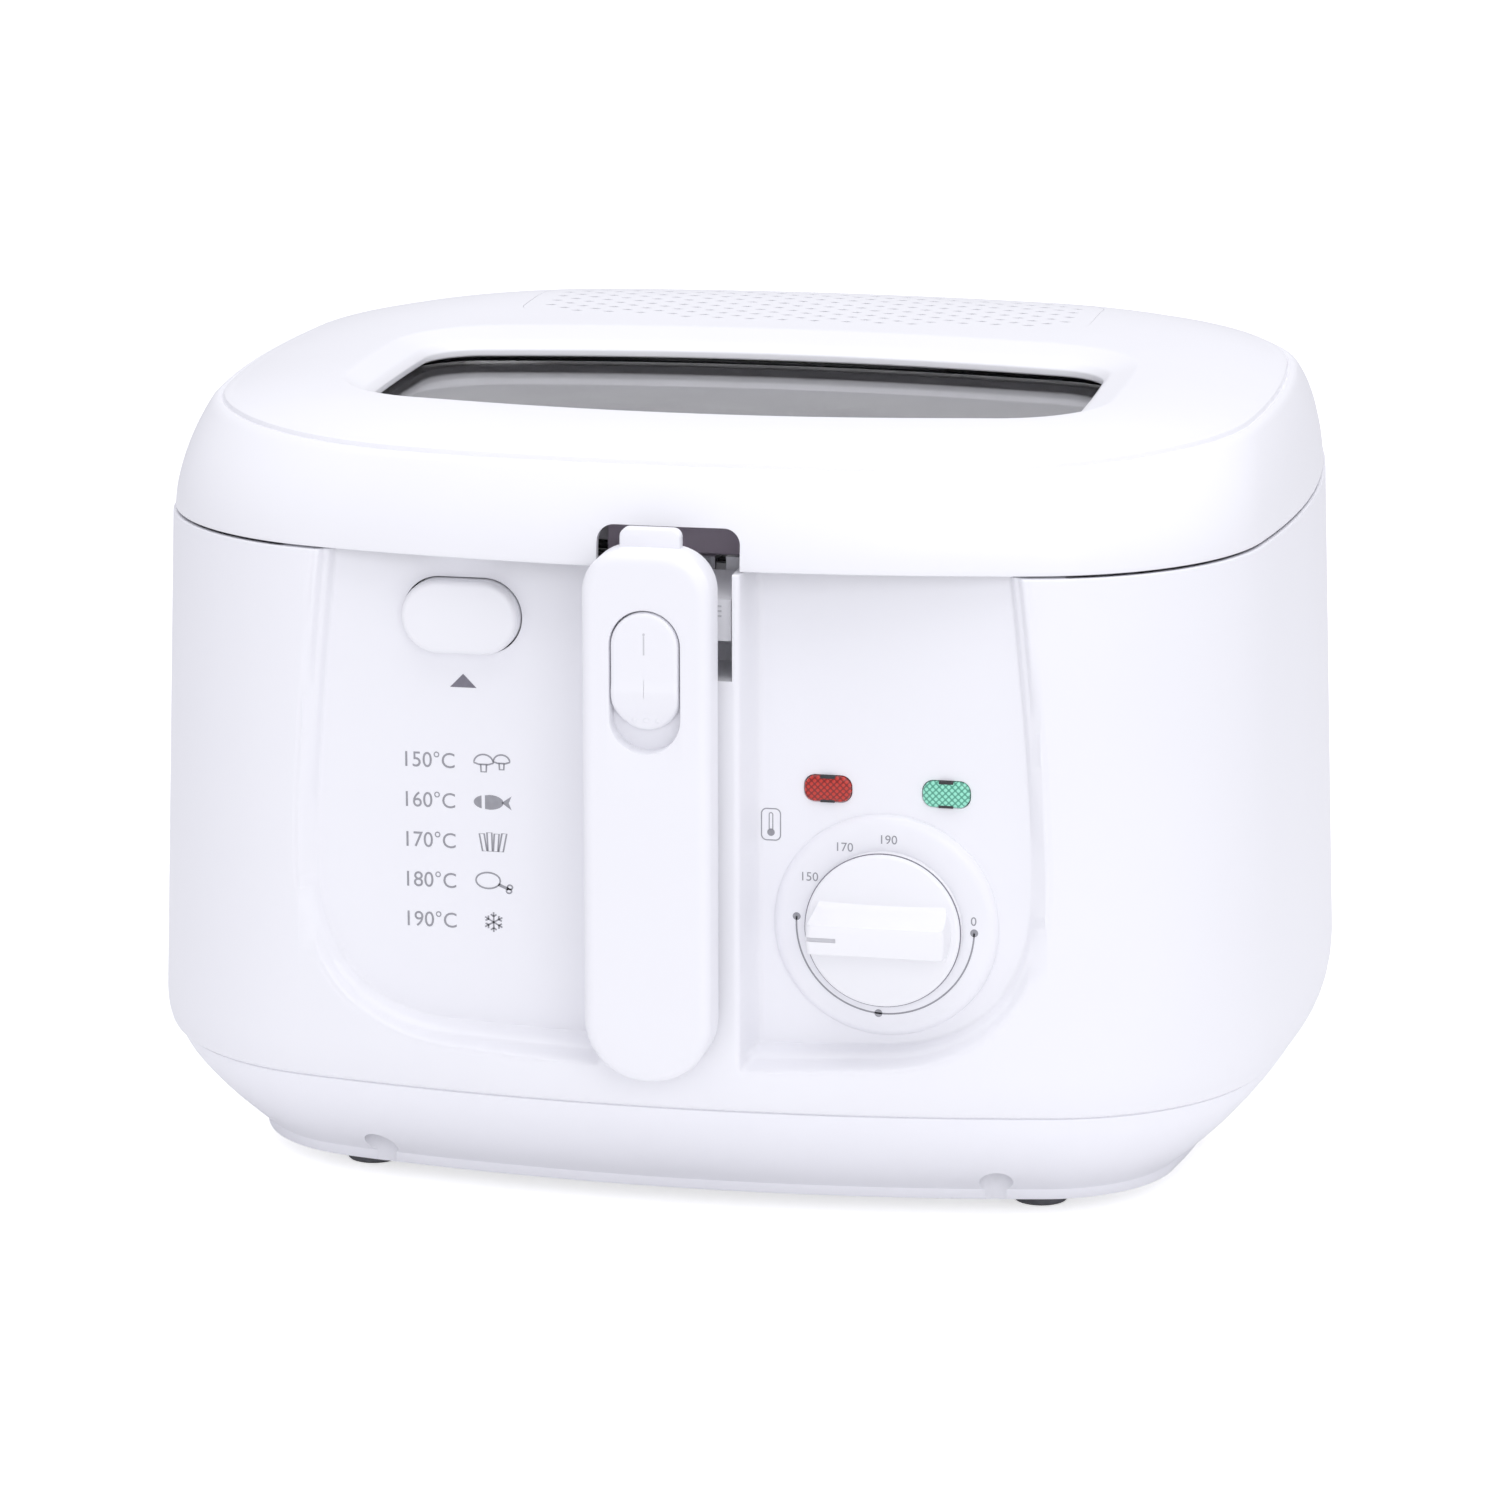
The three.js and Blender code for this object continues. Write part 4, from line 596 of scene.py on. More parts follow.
FINISHES = {
    "housing_plastic": moulded("white_housing", (0.88, 0.88, 0.915), 0.34),
    "lid_plastic": moulded("white_lid", (0.885, 0.885, 0.915), 0.32, coat=0.1),
    "base_plastic": moulded("white_base", (0.9, 0.9, 0.94), 0.36),
    "knob_plastic": moulded("white_knob", (0.89, 0.89, 0.915), 0.36),
    "button_plastic": moulded("white_button", (0.88, 0.88, 0.91), 0.36),
    "handle_plastic": WHITE_HANDLE,
    "slide_plastic": WHITE_HANDLE,
    "liner_plastic": moulded("pale_liner", (0.62, 0.61, 0.63), 0.5, depth=0.02),
    "black_plastic": moulded("black_plastic", (0.03, 0.03, 0.033), 0.45, depth=0.02),
    "terminal_plastic": moulded("terminal_plastic", (0.5, 0.49, 0.45), 0.5),
    "pot_coating": moulded("pot_coating", (0.06, 0.06, 0.063), 0.4, 900.0, 0.03),
    "foot_rubber": rubber("grey_rubber", (0.14, 0.14, 0.15)),
    "seal_rubber": rubber("black_rubber", (0.02, 0.02, 0.021)),
    "wire_steel": metal("bright_steel", (0.62, 0.63, 0.65), 0.28),
    "sheet_steel": metal("sheet_steel", (0.5, 0.5, 0.52), 0.35, (1, 1, 0.1)),
    "element_steel": metal("element_steel", (0.25, 0.24, 0.24), 0.5),
    "screw_steel": DULL_STEEL,
    "pin_steel": DULL_STEEL,
    "spring_steel": DULL_STEEL,
    "grease_felt": fibre("felt", (0.6, 0.58, 0.52)),
    "charcoal_felt": fibre("charcoal", (0.05, 0.05, 0.05)),
    "window_glass": clear_glass("window_glass"),
    "red_lens": lamp_lens("red_lens", (0.56, 0.022, 0.01), (0.2, 0.004, 0.002)),
    "green_lens": lamp_lens("green_lens", (0.3, 0.8, 0.6), (0.07, 0.32, 0.22)),
}
SOFT_EDGES = {"handle_holder": 0.7, "handle_cover": 0.3, "basket_hanger": 0.25, "latch_hook": 0.3}


def finish_cad_nodes():
    """Every node of the CAD takes the finish of its slot; some are then stood for by finer pieces."""
    for row in frame["record"]["subparts"]:
        node = frame["nodes"][row["node"]]
        node.data.materials.clear()
        node.data.materials.append(FINISHES[row["material_slot"]])
        smooth(node, 28.0)
        if row["node"] in SOFT_EDGES:
            soften(node, SOFT_EDGES[row["node"]])


finish_cad_nodes()


# Housing
PANEL_TOP_HALF = 101.0
PANEL_WIDE_HALF = 110.0
PANEL_WIDE_Z = 112.0
PANEL_CORNER_X = 62.0
PANEL_CORNER_Z = 61.0
PANEL_MID_Z = 59.0
PANEL_SLOPE = 5.4
SLOPE_PLACES = [0, 0.06, 0.14, 0.26, 0.38, 0.46, 0.53, 0.6, 0.7, 0.82, 0.93, 1.0]
SLOPE_SHARES = [0, 0.06, 0.22, 0.37, 0.44, 0.47, 0.49, 0.56, 0.77, 0.91, 0.975, 1.0]
COLUMN_PLACES = [-2.0, -1.4, -0.8, -0.3, 0.0, 0.15, 0.35, 0.6, 0.9, 1.25, 1.65, 2.1, 2.7, 3.4]
COLUMN_DROPS = [0, 0.004, 0.018, 0.045, 0.08, 0.14, 0.24, 0.4, 0.54, 0.68, 0.79, 0.89, 0.96, 1.0]
BESIDE_COLUMN = [4.6, 6.4, 8.0, 9.6]
EDGE_LINE_AT = 5.9
EDGE_LINE_HALF = 0.55
EDGE_LINE_DEPTH = 0.28
FRONT_EDGE_X = 110.4
FOOT_ROUND_HEIGHT = 12.5
FOOT_ROUND_INSET = 4.0
FOOT_ROUND_STEPS = 12
RIM_Z = 206.7
FINE_FROM_Z, FINE_TO_Z, COARSE_TO_Z = 53.8, 78.0, 205.5
FRONT_PART_Y = -90.0
FRONT_PART_X = 134.0
INNER_PART_X = 119.0
LINE_FROM_COLUMN = 6.0


def quadratic(a, b, c, steps):
    t = np.linspace(0, 1, steps, endpoint=False)[:, None]
    a, b, c = (np.array(p, float) for p in (a, b, c))
    return (1 - t) ** 2 * a + 2 * t * (1 - t) * b + t * t * c


def panel_outline():
    """The edge of the flat panel: sides that widen downwards, round lower corners and a bowed lower edge."""
    top = LID_SEAM_Z + 12
    low = (PANEL_CORNER_X, PANEL_CORNER_Z)
    wide = (PANEL_WIDE_HALF, PANEL_WIDE_Z)
    right = [
        quadratic((0, PANEL_MID_Z), (PANEL_CORNER_X / 2, PANEL_MID_Z), low, 8),
        quadratic(low, (PANEL_WIDE_HALF, PANEL_CORNER_Z), wide, 24),
        quadratic(wide, (PANEL_WIDE_HALF, PANEL_WIDE_Z + 30), (PANEL_TOP_HALF, top), 12),
        [(PANEL_TOP_HALF, top)],
    ]
    half = np.concatenate([np.asarray(p, float) for p in right])
    other = half[:0:-1] * [-1, 1]
    return np.concatenate([half, other])


PANEL_OUTLINE = panel_outline()


def housing_front(points):
    """Moves the front of the housing in to the recessed panel, and leaves the middle column standing."""
    moved = points.copy()
    near = (points[:, 1] < FRONT_PART_Y) & (np.abs(points[:, 0]) < FRONT_PART_X)
    flat = points[near][:, [0, 2]]
    edge = distance_to(flat, PANEL_OUTLINE)
    share = np.interp(edge / PANEL_SLOPE, SLOPE_PLACES, SLOPE_SHARES)
    beside = np.maximum(COLUMN_LEFT - flat[:, 0], flat[:, 0] - COLUMN_RIGHT)
    column = 1 - np.interp(beside, COLUMN_PLACES, COLUMN_DROPS)
    share = 1 - (1 - share) * (1 - column)
    moved[near, 1] = PANEL_Y + (points[near, 1] - PANEL_Y) * share
    line = np.exp(-(((edge - EDGE_LINE_AT) / EDGE_LINE_HALF) ** 2)) * (beside > LINE_FROM_COLUMN)
    moved[near, 1] += EDGE_LINE_DEPTH * line
    return moved


def front_lines():
    """Where the housing's columns of points stand across the front."""
    steps = np.array(COLUMN_PLACES + BESIDE_COLUMN)
    fine = np.arange(98.0, FRONT_EDGE_X, 0.5)
    lines = [
        -fine,
        np.arange(-97.5, COLUMN_LEFT - 10, 1.5),
        COLUMN_LEFT - steps,
        np.arange(COLUMN_LEFT + 4, COLUMN_RIGHT - 3, 3.1),
        COLUMN_RIGHT + steps,
        np.arange(COLUMN_RIGHT + 11, 97.6, 1.5),
        fine,
    ]
    return np.unique(np.round(np.concatenate(lines), 3))


HOUSING_STEPS = {"side": 10, "corner": 20, "bow": 30}
FRONT_LINES = front_lines()


def housing_ring(inset, z):
    return plan_ring(body_plan(z), inset, z, HOUSING_STEPS, FRONT_LINES)


def behind_front(points, wall):
    """The same ring, behind the front surface by the wall's thickness."""
    moved = points.copy()
    faced = housing_front(points)
    hidden = faced[:, 1] - points[:, 1] > 1e-6
    moved[hidden, 1] = faced[hidden, 1]
    flat = (np.abs(points[:, 0]) < INNER_PART_X) & (points[:, 1] < FRONT_PART_Y)
    moved[flat, 1] = np.maximum(moved[flat, 1], PANEL_Y + wall)
    return moved


def housing_outer():
    low = BASE_SEAM_Z + GAP
    rings = [housing_ring(FOOT_ROUND_INSET + 0.6, low)]
    for cosine, sine in quarter(FOOT_ROUND_STEPS, 0):
        z = low + FOOT_ROUND_HEIGHT * (1 - cosine) + 0.05
        rings.append(housing_front(housing_ring(FOOT_ROUND_INSET * (1 - sine), z)))
    fine = np.arange(FINE_FROM_Z, FINE_TO_Z, 0.5)
    heights = np.concatenate([fine, np.arange(FINE_TO_Z, COARSE_TO_Z, 1.7), [RIM_Z - 0.8, RIM_Z - 0.3]])
    rings += [housing_front(housing_ring(0, z)) for z in heights]
    rings.append(housing_front(housing_ring(0.15, RIM_Z - 0.08)))
    rings.append(housing_front(housing_ring(0.4, RIM_Z)))
    return rings


def housing_inner():
    deck_low = DECK_Z - DECK_THICKNESS
    low = BASE_SEAM_Z + GAP
    opening = plan_ring(POT, -1.0, DECK_Z, HOUSING_STEPS, FRONT_LINES * 0.65)
    under = opening.copy()
    under[:, 2] = deck_low
    return [
        behind_front(housing_ring(WALL - 0.3, RIM_Z), WALL),
        behind_front(housing_ring(WALL, RIM_Z - 0.3), WALL),
        behind_front(housing_ring(WALL, DECK_Z), WALL),
        opening,
        under,
        behind_front(housing_ring(2 * WALL, deck_low), WALL),
        behind_front(housing_ring(2 * WALL + FOOT_ROUND_INSET, low), WALL),
    ]


def housing_cutters():
    left, right = SLOT_SHIFT - SLOT_HALF, SLOT_SHIFT + SLOT_HALF
    button_hole = pill(BUTTON_X, BUTTON_Z, BUTTON_HALF_X + BUTTON_GAP, BUTTON_HALF_Z + BUTTON_GAP)
    cutters = [
        box_object("slot", left, right, FRONT_Y - 5, SLOT_BACK_Y, SLOT_BOTTOM_Z, LID_SEAM_Z + 9),
        box_object("hanger_gap", -14.8, 14.8, SLOT_BACK_Y - 2, SLOT_BACK_Y + 6, 192.5, LID_SEAM_Z + 9),
        lathe_y("bush", [(SHAFT_HOLE, PANEL_Y - 5), (SHAFT_HOLE, PANEL_Y + 5)], DIAL_X, DIAL_Z, 48),
        front_prism("button_hole", button_hole, PANEL_Y - 8, PANEL_Y + 6),
        box_object("hook_slot", BUTTON_X - 8, BUTTON_X + 8, PANEL_Y + WALL + 1.6, -123, 195, 210),
        lathe_y("gland_hole", [(7.0, BACK_Y - 10), (7.0, BACK_Y + 5)], 0, GLAND_Z, 48),
    ]
    for side in (-1, 1):
        x = DIAL_X + side * LAMP_SPREAD
        outline = rounded_ring(x - 7.35, x + 7.35, LAMP_Z - 4.2, LAMP_Z + 4.2, 3.5, 3.5, 0)
        cutters.append(front_prism("lamp_hole", outline, PANEL_Y - 5, PANEL_Y + 5))
    return cutters


def housing():
    shell = lofted("housing_shell", housing_outer() + housing_inner(), loop=True)
    left, right = COLUMN_LEFT + 0.4, COLUMN_RIGHT - 0.4
    low, back = SLOT_BOTTOM_Z - WALL, SLOT_BACK_Y + WALL
    boolean(shell, [box_object("pocket", left, right, PANEL_Y + 1, back, low, RIM_Z - 0.4)], "UNION")
    boolean(shell, housing_cutters())
    lugs = []
    for side in (-1, 1):
        for next_to in (-1, 1):
            middle = side * HINGE_X + next_to * 10.15
            lugs.append(lug("body_lug", middle - 3.85, middle + 3.85, 196.0, 205.0))
    dress(joined("housing", [shell, *lugs]), "fryer_body", "housing_plastic", ["outer_housing"], 50.0)


def pill(x, z, half_wide, half_high):
    corner = half_high - 0.01
    return rounded_ring(x - half_wide, x + half_wide, z - half_high, z + half_high, corner, corner, 0)


def front_prism(name, outline, front, back):
    near, far = outline.copy(), outline.copy()
    near[:, 1], far[:, 1] = front, back
    return lofted(name, [near, far])


def lug(name, x0, x1, arm_low, arm_high):
    """A hinge eye with its arm, about the hinge line behind the body."""
    eye = bar_x(name, x0, x1, HINGE_Y, HINGE_Z, LUG_RADIUS, 40)
    arm = box_object(name, x0, x1, HINGE_Y - LUG_REACH, HINGE_Y - 1, arm_low, arm_high, 0.6)
    return joined(name, [eye, arm])


housing()


# Dial boss, raised round the knob
BOSS_FACE_Y = PANEL_Y - 2.5


def dial_boss():
    profile = [(34.2, PANEL_Y + 0.4), (34.2, PANEL_Y + 0.05)]
    profile += [(30.7 + 3.5 * cosine, PANEL_Y - 0.05 - 2.45 * sine) for cosine, sine in quarter(10, 0)]
    profile += [(SHAFT_HOLE, BOSS_FACE_Y), (SHAFT_HOLE, PANEL_Y + 0.4)]
    boss = lathe_y("dial_boss", profile, DIAL_X, DIAL_Z, 160)
    dress(boss, "fryer_body", "housing_plastic", angle=60.0)


dial_boss()


# Base
def base():
    top_inset, bottom_inset, bulge = 4.5, 31.5, 1.35
    band_low, band_high, levels = 6.0, 9.5, 18
    profile = [(bottom_inset + 1.0, band_low), (bottom_inset + 0.3, band_low + 0.25)]
    profile += [(bottom_inset, band_low + 0.9), (bottom_inset, band_high - 0.2)]
    for k in range(levels + 1):
        inset = top_inset + (bottom_inset - top_inset) * (1 - k / levels) ** bulge
        profile.append((inset, band_high + (BASE_SEAM_Z - 0.4 - band_high) * k / levels))
    profile += [(top_inset + 0.4, BASE_SEAM_Z), (14, BASE_SEAM_Z), (42, 25)]
    shell = lofted("base", plan_rings(FOOT, profile))
    cutters = []
    for x in (-BASE_SCREW_X, BASE_SCREW_X):
        for y in (-BASE_SCREW_Y, BASE_SCREW_Y):
            cutters.append(lathe_z("pocket", [(5.2, 0), (5.2, 21.5)], x, y, 48))
    for k in range(5):
        y = POT["centre_y"] + (k - 2) * 9
        cutters.append(box_object("vent", -32, 32, y - 1.6, y + 1.6, 0, 12))
    boolean(shell, cutters)
    dress(shell, "fryer_body", "base_plastic", ["base_tray"])


base()


def feet():
    profile = [(7.6, 0.0), (8.1, 0.15), (8.5, 0.6), (9.3, 5.4), (9.3, 5.9), (3.2, 5.9), (3.2, 8.0)]
    for depth, y in (("front", -92.5), ("rear", 92.5)):
        for side, x in (("right", 106.6), ("left", -106.6)):
            foot = lathe_z(f"rubber_foot_{depth}_{side}", profile, x, y)
            dress(foot, "fryer_body", "foot_rubber", [f"foot_{depth}_{side}"])


feet()


# Lid
CREASE_Z = 236.5
CREASE_INSET = 10.2
LID_LOW_INSET = 0.8
LID_LOW_Z = LID_SEAM_Z + 0.4
CREASE_CORNER = 100.0
SKIRT_START, SKIRT_RISE, SKIRT_LEVELS = 0.02, 0.93, 21
SKIRT_POWER = 1.9
DOME_POWER = 2.2
DOME_TOP_Z = 244.0
LIFT_PLACES = [-140.0, -95.0, 140.0]
LIFT_HEIGHTS = [0.0, 1.3, 3.4]
LIFT_FROM_Z = 212.0
DOME_INSET = 62.0
DOME_EDGE_INSET = 15.4
WINDOW_LIP_Z = 239.4
FRAME_UNDER_Z = 236.8
NOTCH_TOP_Z = 220.0
COVER_SEAT_Z = 241.4
ABOVE_LID_Z = 250.0
SHOULDER = [
    (9.6, 235.5),
    (10.3, 236.15),
    (11.1, 236.45),
    (11.6, 236.45),
    (12.1, 236.3),
    (12.5, 236.05),
    (12.75, 236.15),
    (12.9, 236.8),
    (13.2, 237.5),
    (14.1, 237.95),
]
DOME_SHARES = [0, 0.04, 0.09, 0.14, 0.2, 0.28, 0.37, 0.47, 0.58, 0.7, 0.82, 0.92, 0.98, 1.0]
BEVEL_SHARES = [0, 0.04, 0.1, 0.2, 0.4, 0.6, 0.75, 0.84, 0.9, 0.95, 1.0]
BEVEL_DROPS = [0, 0.01, 0.05, 0.12, 0.26, 0.4, 0.52, 0.62, 0.74, 0.88, 1.0]
LIP_STEPS = [(0.0, 239.3), (0.25, 239.05), (0.4, 238.6), (0.4, 237.2), (0.1, FRAME_UNDER_Z)]


def lid_plan(inset):
    share = min(1.0, max(0.0, (inset - LID_LOW_INSET) / (CREASE_INSET - LID_LOW_INSET)))
    return {**BODY, "corner": BODY["corner"] + (CREASE_CORNER - BODY["corner"] + CREASE_INSET) * share}


def lid_ring(inset, z):
    return plan_ring(lid_plan(inset), inset, z)


def skirt_inset(rise):
    return LID_LOW_INSET + (CREASE_INSET - LID_LOW_INSET) * rise**SKIRT_POWER


def skirt_z(rise):
    return LID_LOW_Z + (CREASE_Z - LID_LOW_Z) * rise


def dome_height(points):
    """Height of the lid's top over points, from how far they lie inside the crease."""
    crease = plan_ring(lid_plan(CREASE_INSET), CREASE_INSET, 0, FINE_STEPS)[:, :2]
    deep = np.clip(-distance_to(points[:, :2], crease) / (DOME_INSET - CREASE_INSET), 0, 1)
    return CREASE_Z + (DOME_TOP_Z - CREASE_Z) * (1 - (1 - deep) ** DOME_POWER)


def lifted(points):
    """The lid's top rises a little towards the back; the skirt's lower edge stays level."""
    moved = points.copy()
    back = np.interp(points[:, 1], LIFT_PLACES, LIFT_HEIGHTS)
    moved[:, 2] += back * ease((points[:, 2] - LIFT_FROM_Z) / (CREASE_Z - LIFT_FROM_Z))
    return moved


def lid_outer():
    """The skirt, the rounded shoulder with its small step, and the dome down to the window's lip."""
    rings = [lid_ring(LID_LOW_INSET + 0.5, LID_LOW_Z), lid_ring(LID_LOW_INSET + 0.1, LID_LOW_Z + 0.25)]
    for rise in np.linspace(SKIRT_START, SKIRT_RISE, SKIRT_LEVELS):
        rings.append(lid_ring(skirt_inset(rise), skirt_z(rise)))
    rings += [lid_ring(inset, z) for inset, z in SHOULDER]
    crease = lid_ring(DOME_EDGE_INSET, 0)
    outer_bevel = plan_ring(BEVEL, 0, 0)
    for share in DOME_SHARES:
        points = crease * (1 - share) + outer_bevel * share
        points[:, 2] = dome_height(points)
        rings.append(points)
    edge = rings[-1]
    window = plan_ring(WINDOW, 0, WINDOW_LIP_Z)
    for share in np.linspace(0.05, 0.98, 20):
        points = edge * (1 - share) + window * share
        drop = np.interp(share, BEVEL_SHARES, BEVEL_DROPS)
        points[:, 2] = edge[:, 2] * (1 - drop) + WINDOW_LIP_Z * drop
        rings.append(points)
    return rings + plan_rings(WINDOW, LIP_STEPS)


def lid_under():
    rings = [plan_ring(WINDOW, -11, FRAME_UNDER_Z), lid_ring(CREASE_INSET + 3.2, CREASE_Z - 3)]
    for rise in (0.8, 0.6, 0.4, 0.2):
        rings.append(lid_ring(skirt_inset(rise) + WALL, skirt_z(rise)))
    rings.append(lid_ring(LID_LOW_INSET + WALL, LID_LOW_Z))
    return rings


def lid():
    shell = lofted("lid_shell", [lifted(ring) for ring in lid_outer() + lid_under()], loop=True)
    notch = rounded_ring(COLUMN_LEFT, COLUMN_RIGHT, LID_SEAM_Z - 10, NOTCH_TOP_Z, 5, 2.5, 0)
    seat = plan_rings(COVER, [(-0.15, COVER_SEAT_Z), (-0.15, ABOVE_LID_Z)])
    cutters = [
        front_prism("notch", notch, FRONT_Y - 6, SLOT_BACK_Y - 8),
        lofted("seat", [lifted(ring) for ring in seat]),
        lofted("opening", plan_rings(COVER, [(3, COVER_SEAT_Z - 13.4), (3, ABOVE_LID_Z)])),
    ]
    boolean(shell, cutters)
    lugs = []
    for x in (-HINGE_X, HINGE_X):
        lugs.append(lug("lid_lug", x - 6, x + 6, 207.4, 210.5))
    catch = box_object("catch", BUTTON_X - 9, BUTTON_X + 9, -149.7, -138.6, 208.3, 211.3, 0.4)
    dress(joined("lid", [shell, catch, *lugs]), "lid", "lid_plastic", ["lid_outer"])


lid()


# Filter cover
PITCH_X, PITCH_Y = 5.4, 4.4
HOLE_X, HOLE_Y = 2.2, 1.0
COVER_COLUMNS, COVER_ROWS = 37, 19
COVER_THICKNESS = 1.6


def cover_grid():
    """Cells over the cover, every second one with a lozenge hole: points, faces and holes."""
    left = -COVER_COLUMNS * PITCH_X / 2
    front = COVER["centre_y"] - COVER_ROWS * PITCH_Y / 2
    points = []
    for j in range(COVER_ROWS + 1):
        for i in range(COVER_COLUMNS + 1):
            points.append((left + i * PITCH_X, front + j * PITCH_Y, 0))
    cells = [(i, j) for j in range(COVER_ROWS) for i in range(COVER_COLUMNS)]
    centres = np.array([(left + (i + 0.5) * PITCH_X, front + (j + 0.5) * PITCH_Y) for i, j in cells])
    inside = distance_to(centres, plan_ring(COVER, 5.0, 0)[:, :2]) < -3
    faces, holes = [], []
    for (i, j), (x, y), fits in zip(cells, centres, inside):
        a = j * (COVER_COLUMNS + 1) + i
        b, c, d = a + 1, a + COVER_COLUMNS + 2, a + COVER_COLUMNS + 1
        if (i + j) % 2 or not fits:
            faces.append((a, b, c, d))
            continue
        e = len(points)
        points += [(x, y - HOLE_Y, 0), (x + HOLE_X, y, 0), (x, y + HOLE_Y, 0), (x - HOLE_X, y, 0)]
        faces += [(a, b, e), (b, e + 1, e), (b, c, e + 1), (c, e + 2, e + 1)]
        faces += [(c, d, e + 2), (d, e + 3, e + 2), (d, a, e + 3), (a, e, e + 3)]
        holes.append([e, e + 1, e + 2, e + 3])
    return np.array(points, float), faces, holes


def cover_border():
    row = COVER_COLUMNS + 1
    border = list(range(COVER_COLUMNS))
    border += [row * j + COVER_COLUMNS for j in range(COVER_ROWS)]
    border += [row * COVER_ROWS + i for i in range(COVER_COLUMNS, 0, -1)]
    border += [row * j for j in range(COVER_ROWS, 0, -1)]
    return border


def filter_cover():
    """A thin plate on the lid's own curve, with rows of staggered lozenge holes."""
    points, faces, holes = cover_grid()
    points[:, 2] = dome_height(points) - 0.05
    count = len(points)
    lower = points.copy()
    lower[:, 2] -= COVER_THICKNESS
    whole = list(faces) + [tuple(i + count for i in f[::-1]) for f in faces]
    for hole in holes:
        for k in range(4):
            m = (k + 1) % 4
            whole.append((hole[k], hole[m], hole[m] + count, hole[k] + count))
    border = cover_border()
    for k, a in enumerate(border):
        b = border[(k + 1) % len(border)]
        whole.append((b, a, a + count, b + count))
    plate = new_object("filter_cover_plate", lifted(np.concatenate([points, lower])), whole)
    shape = lofted("shape", plan_rings(COVER, [(0, COVER_SEAT_Z - 11.4), (0, ABOVE_LID_Z)]))
    boolean(plate, [shape], "INTERSECT")
    dress(plate, "lid", "lid_plastic", ["filter_cover"])


filter_cover()


# Pads under the cover, each with a pressed edge
PAD_HALF_X, PAD_CORNER = 90.0, 8.0
PAD_FRONT_Y, PAD_BACK_Y = 52.0, 116.0


def pad(name, low, high, slot):
    profile = [(0.9, low), (0.2, low + 0.3), (0, low + 0.8), (0, high - 1.2)]
    profile += [(0.3, high - 0.9), (2.6, high - 0.8), (4.2, high - 0.3), (6.0, high)]
    rings = []
    for inset, z in profile:
        corner = PAD_CORNER - inset
        left, right = inset - PAD_HALF_X, PAD_HALF_X - inset
        front, back = PAD_FRONT_Y + inset, PAD_BACK_Y - inset
        rings.append(laid_flat(rounded_ring(left, right, front, back, corner, corner, 0), z))
    dress(lofted(name + "_pad", rings), "lid", slot, [name])


pad("grease_filter", 233.3, 235.7, "grease_felt")
pad("charcoal_filter", 236.0, 238.4, "charcoal_felt")


# Window, its gasket and the lid seal
PANE_LOW_Z, PANE_TOP_Z = 233.3, 236.5
TUNNEL_HALF = 15.0


def window_pane():
    profile = [(-5.6, PANE_LOW_Z), (-6, PANE_LOW_Z + 0.3), (-6, PANE_TOP_Z - 0.3), (-5.6, PANE_TOP_Z)]
    dress(lofted("window_pane", plan_rings(WINDOW, profile)), "lid", "window_glass", ["window_glass"])


def rounded_band(name, plan, outer, inner, low, high, edge):
    """A band of rubber with round edges along a plan."""
    corners = [
        (outer, low + edge),
        (outer, high - edge),
        (outer + 0.3 * edge, high - 0.3 * edge),
        (outer + edge, high),
        (inner - edge, high),
        (inner - 0.3 * edge, high - 0.3 * edge),
        (inner, high - edge),
        (inner, low + edge),
        (inner - 0.3 * edge, low + 0.3 * edge),
        (inner - edge, low),
        (outer + edge, low),
        (outer + 0.3 * edge, low + 0.3 * edge),
    ]
    return lofted(name, plan_rings(plan, corners), loop=True)


def seals():
    gasket = rounded_band("window_gasket_band", WINDOW, -9.0, -6.3, PANE_LOW_Z, PANE_TOP_Z, 0.6)
    dress(gasket, "lid", "seal_rubber", ["window_gasket"])
    seal = rounded_band("lid_seal_band", POT, -7.3, -4.7, 205.1, 207.7, 0.9)
    boolean(seal, [box_object("tunnel", -TUNNEL_HALF, TUNNEL_HALF, -150, -100, 200, 210)])
    dress(seal, "lid", "seal_rubber", ["lid_seal"])


window_pane()
seals()


# Inner liner
LINER_LOW_Z = 231.4
LINER_TOP_Z = 233.0
SKIRT_LOW_Z = 208.0
SKIRT_TOP_Z = LINER_TOP_Z - 0.8


def liner():
    corners = [(20.4, LINER_LOW_Z), (20.0, LINER_LOW_Z + 0.4), (20.0, LINER_TOP_Z - 0.4), (20.4, LINER_TOP_Z)]
    rings = [lid_ring(inset, z) for inset, z in corners]
    rings += [plan_ring(WINDOW, -1.0, LINER_TOP_Z), plan_ring(WINDOW, -1.0, LINER_LOW_Z)]
    panel = lofted("liner_panel", rings, loop=True)
    skirt = [(-7, SKIRT_TOP_Z), (-7, SKIRT_LOW_Z + 0.3), (-6.7, SKIRT_LOW_Z)]
    skirt += [(-5.3, SKIRT_LOW_Z), (-5, SKIRT_LOW_Z + 0.3), (-5, SKIRT_TOP_Z)]
    boolean(panel, [lofted("skirt", plan_rings(POT, skirt), loop=True)], "UNION")
    cutters = [box_object("tunnel", -TUNNEL_HALF, TUNNEL_HALF, -140, -64, 200, 219)]
    for k in range(4):
        cutters.append(box_object("steam_slot", -50, 50, 50 + 7 * k, 54 + 7 * k, 225, 240))
    for x in (-LID_SCREW_X, LID_SCREW_X):
        for y in LID_SCREW_YS:
            cutters.append(lathe_z("screw_hole", [(2.0, 225), (2.0, 240)], x, y, 32))
    boolean(panel, cutters)
    dress(panel, "lid", "liner_plastic", ["lid_inner"])


liner()


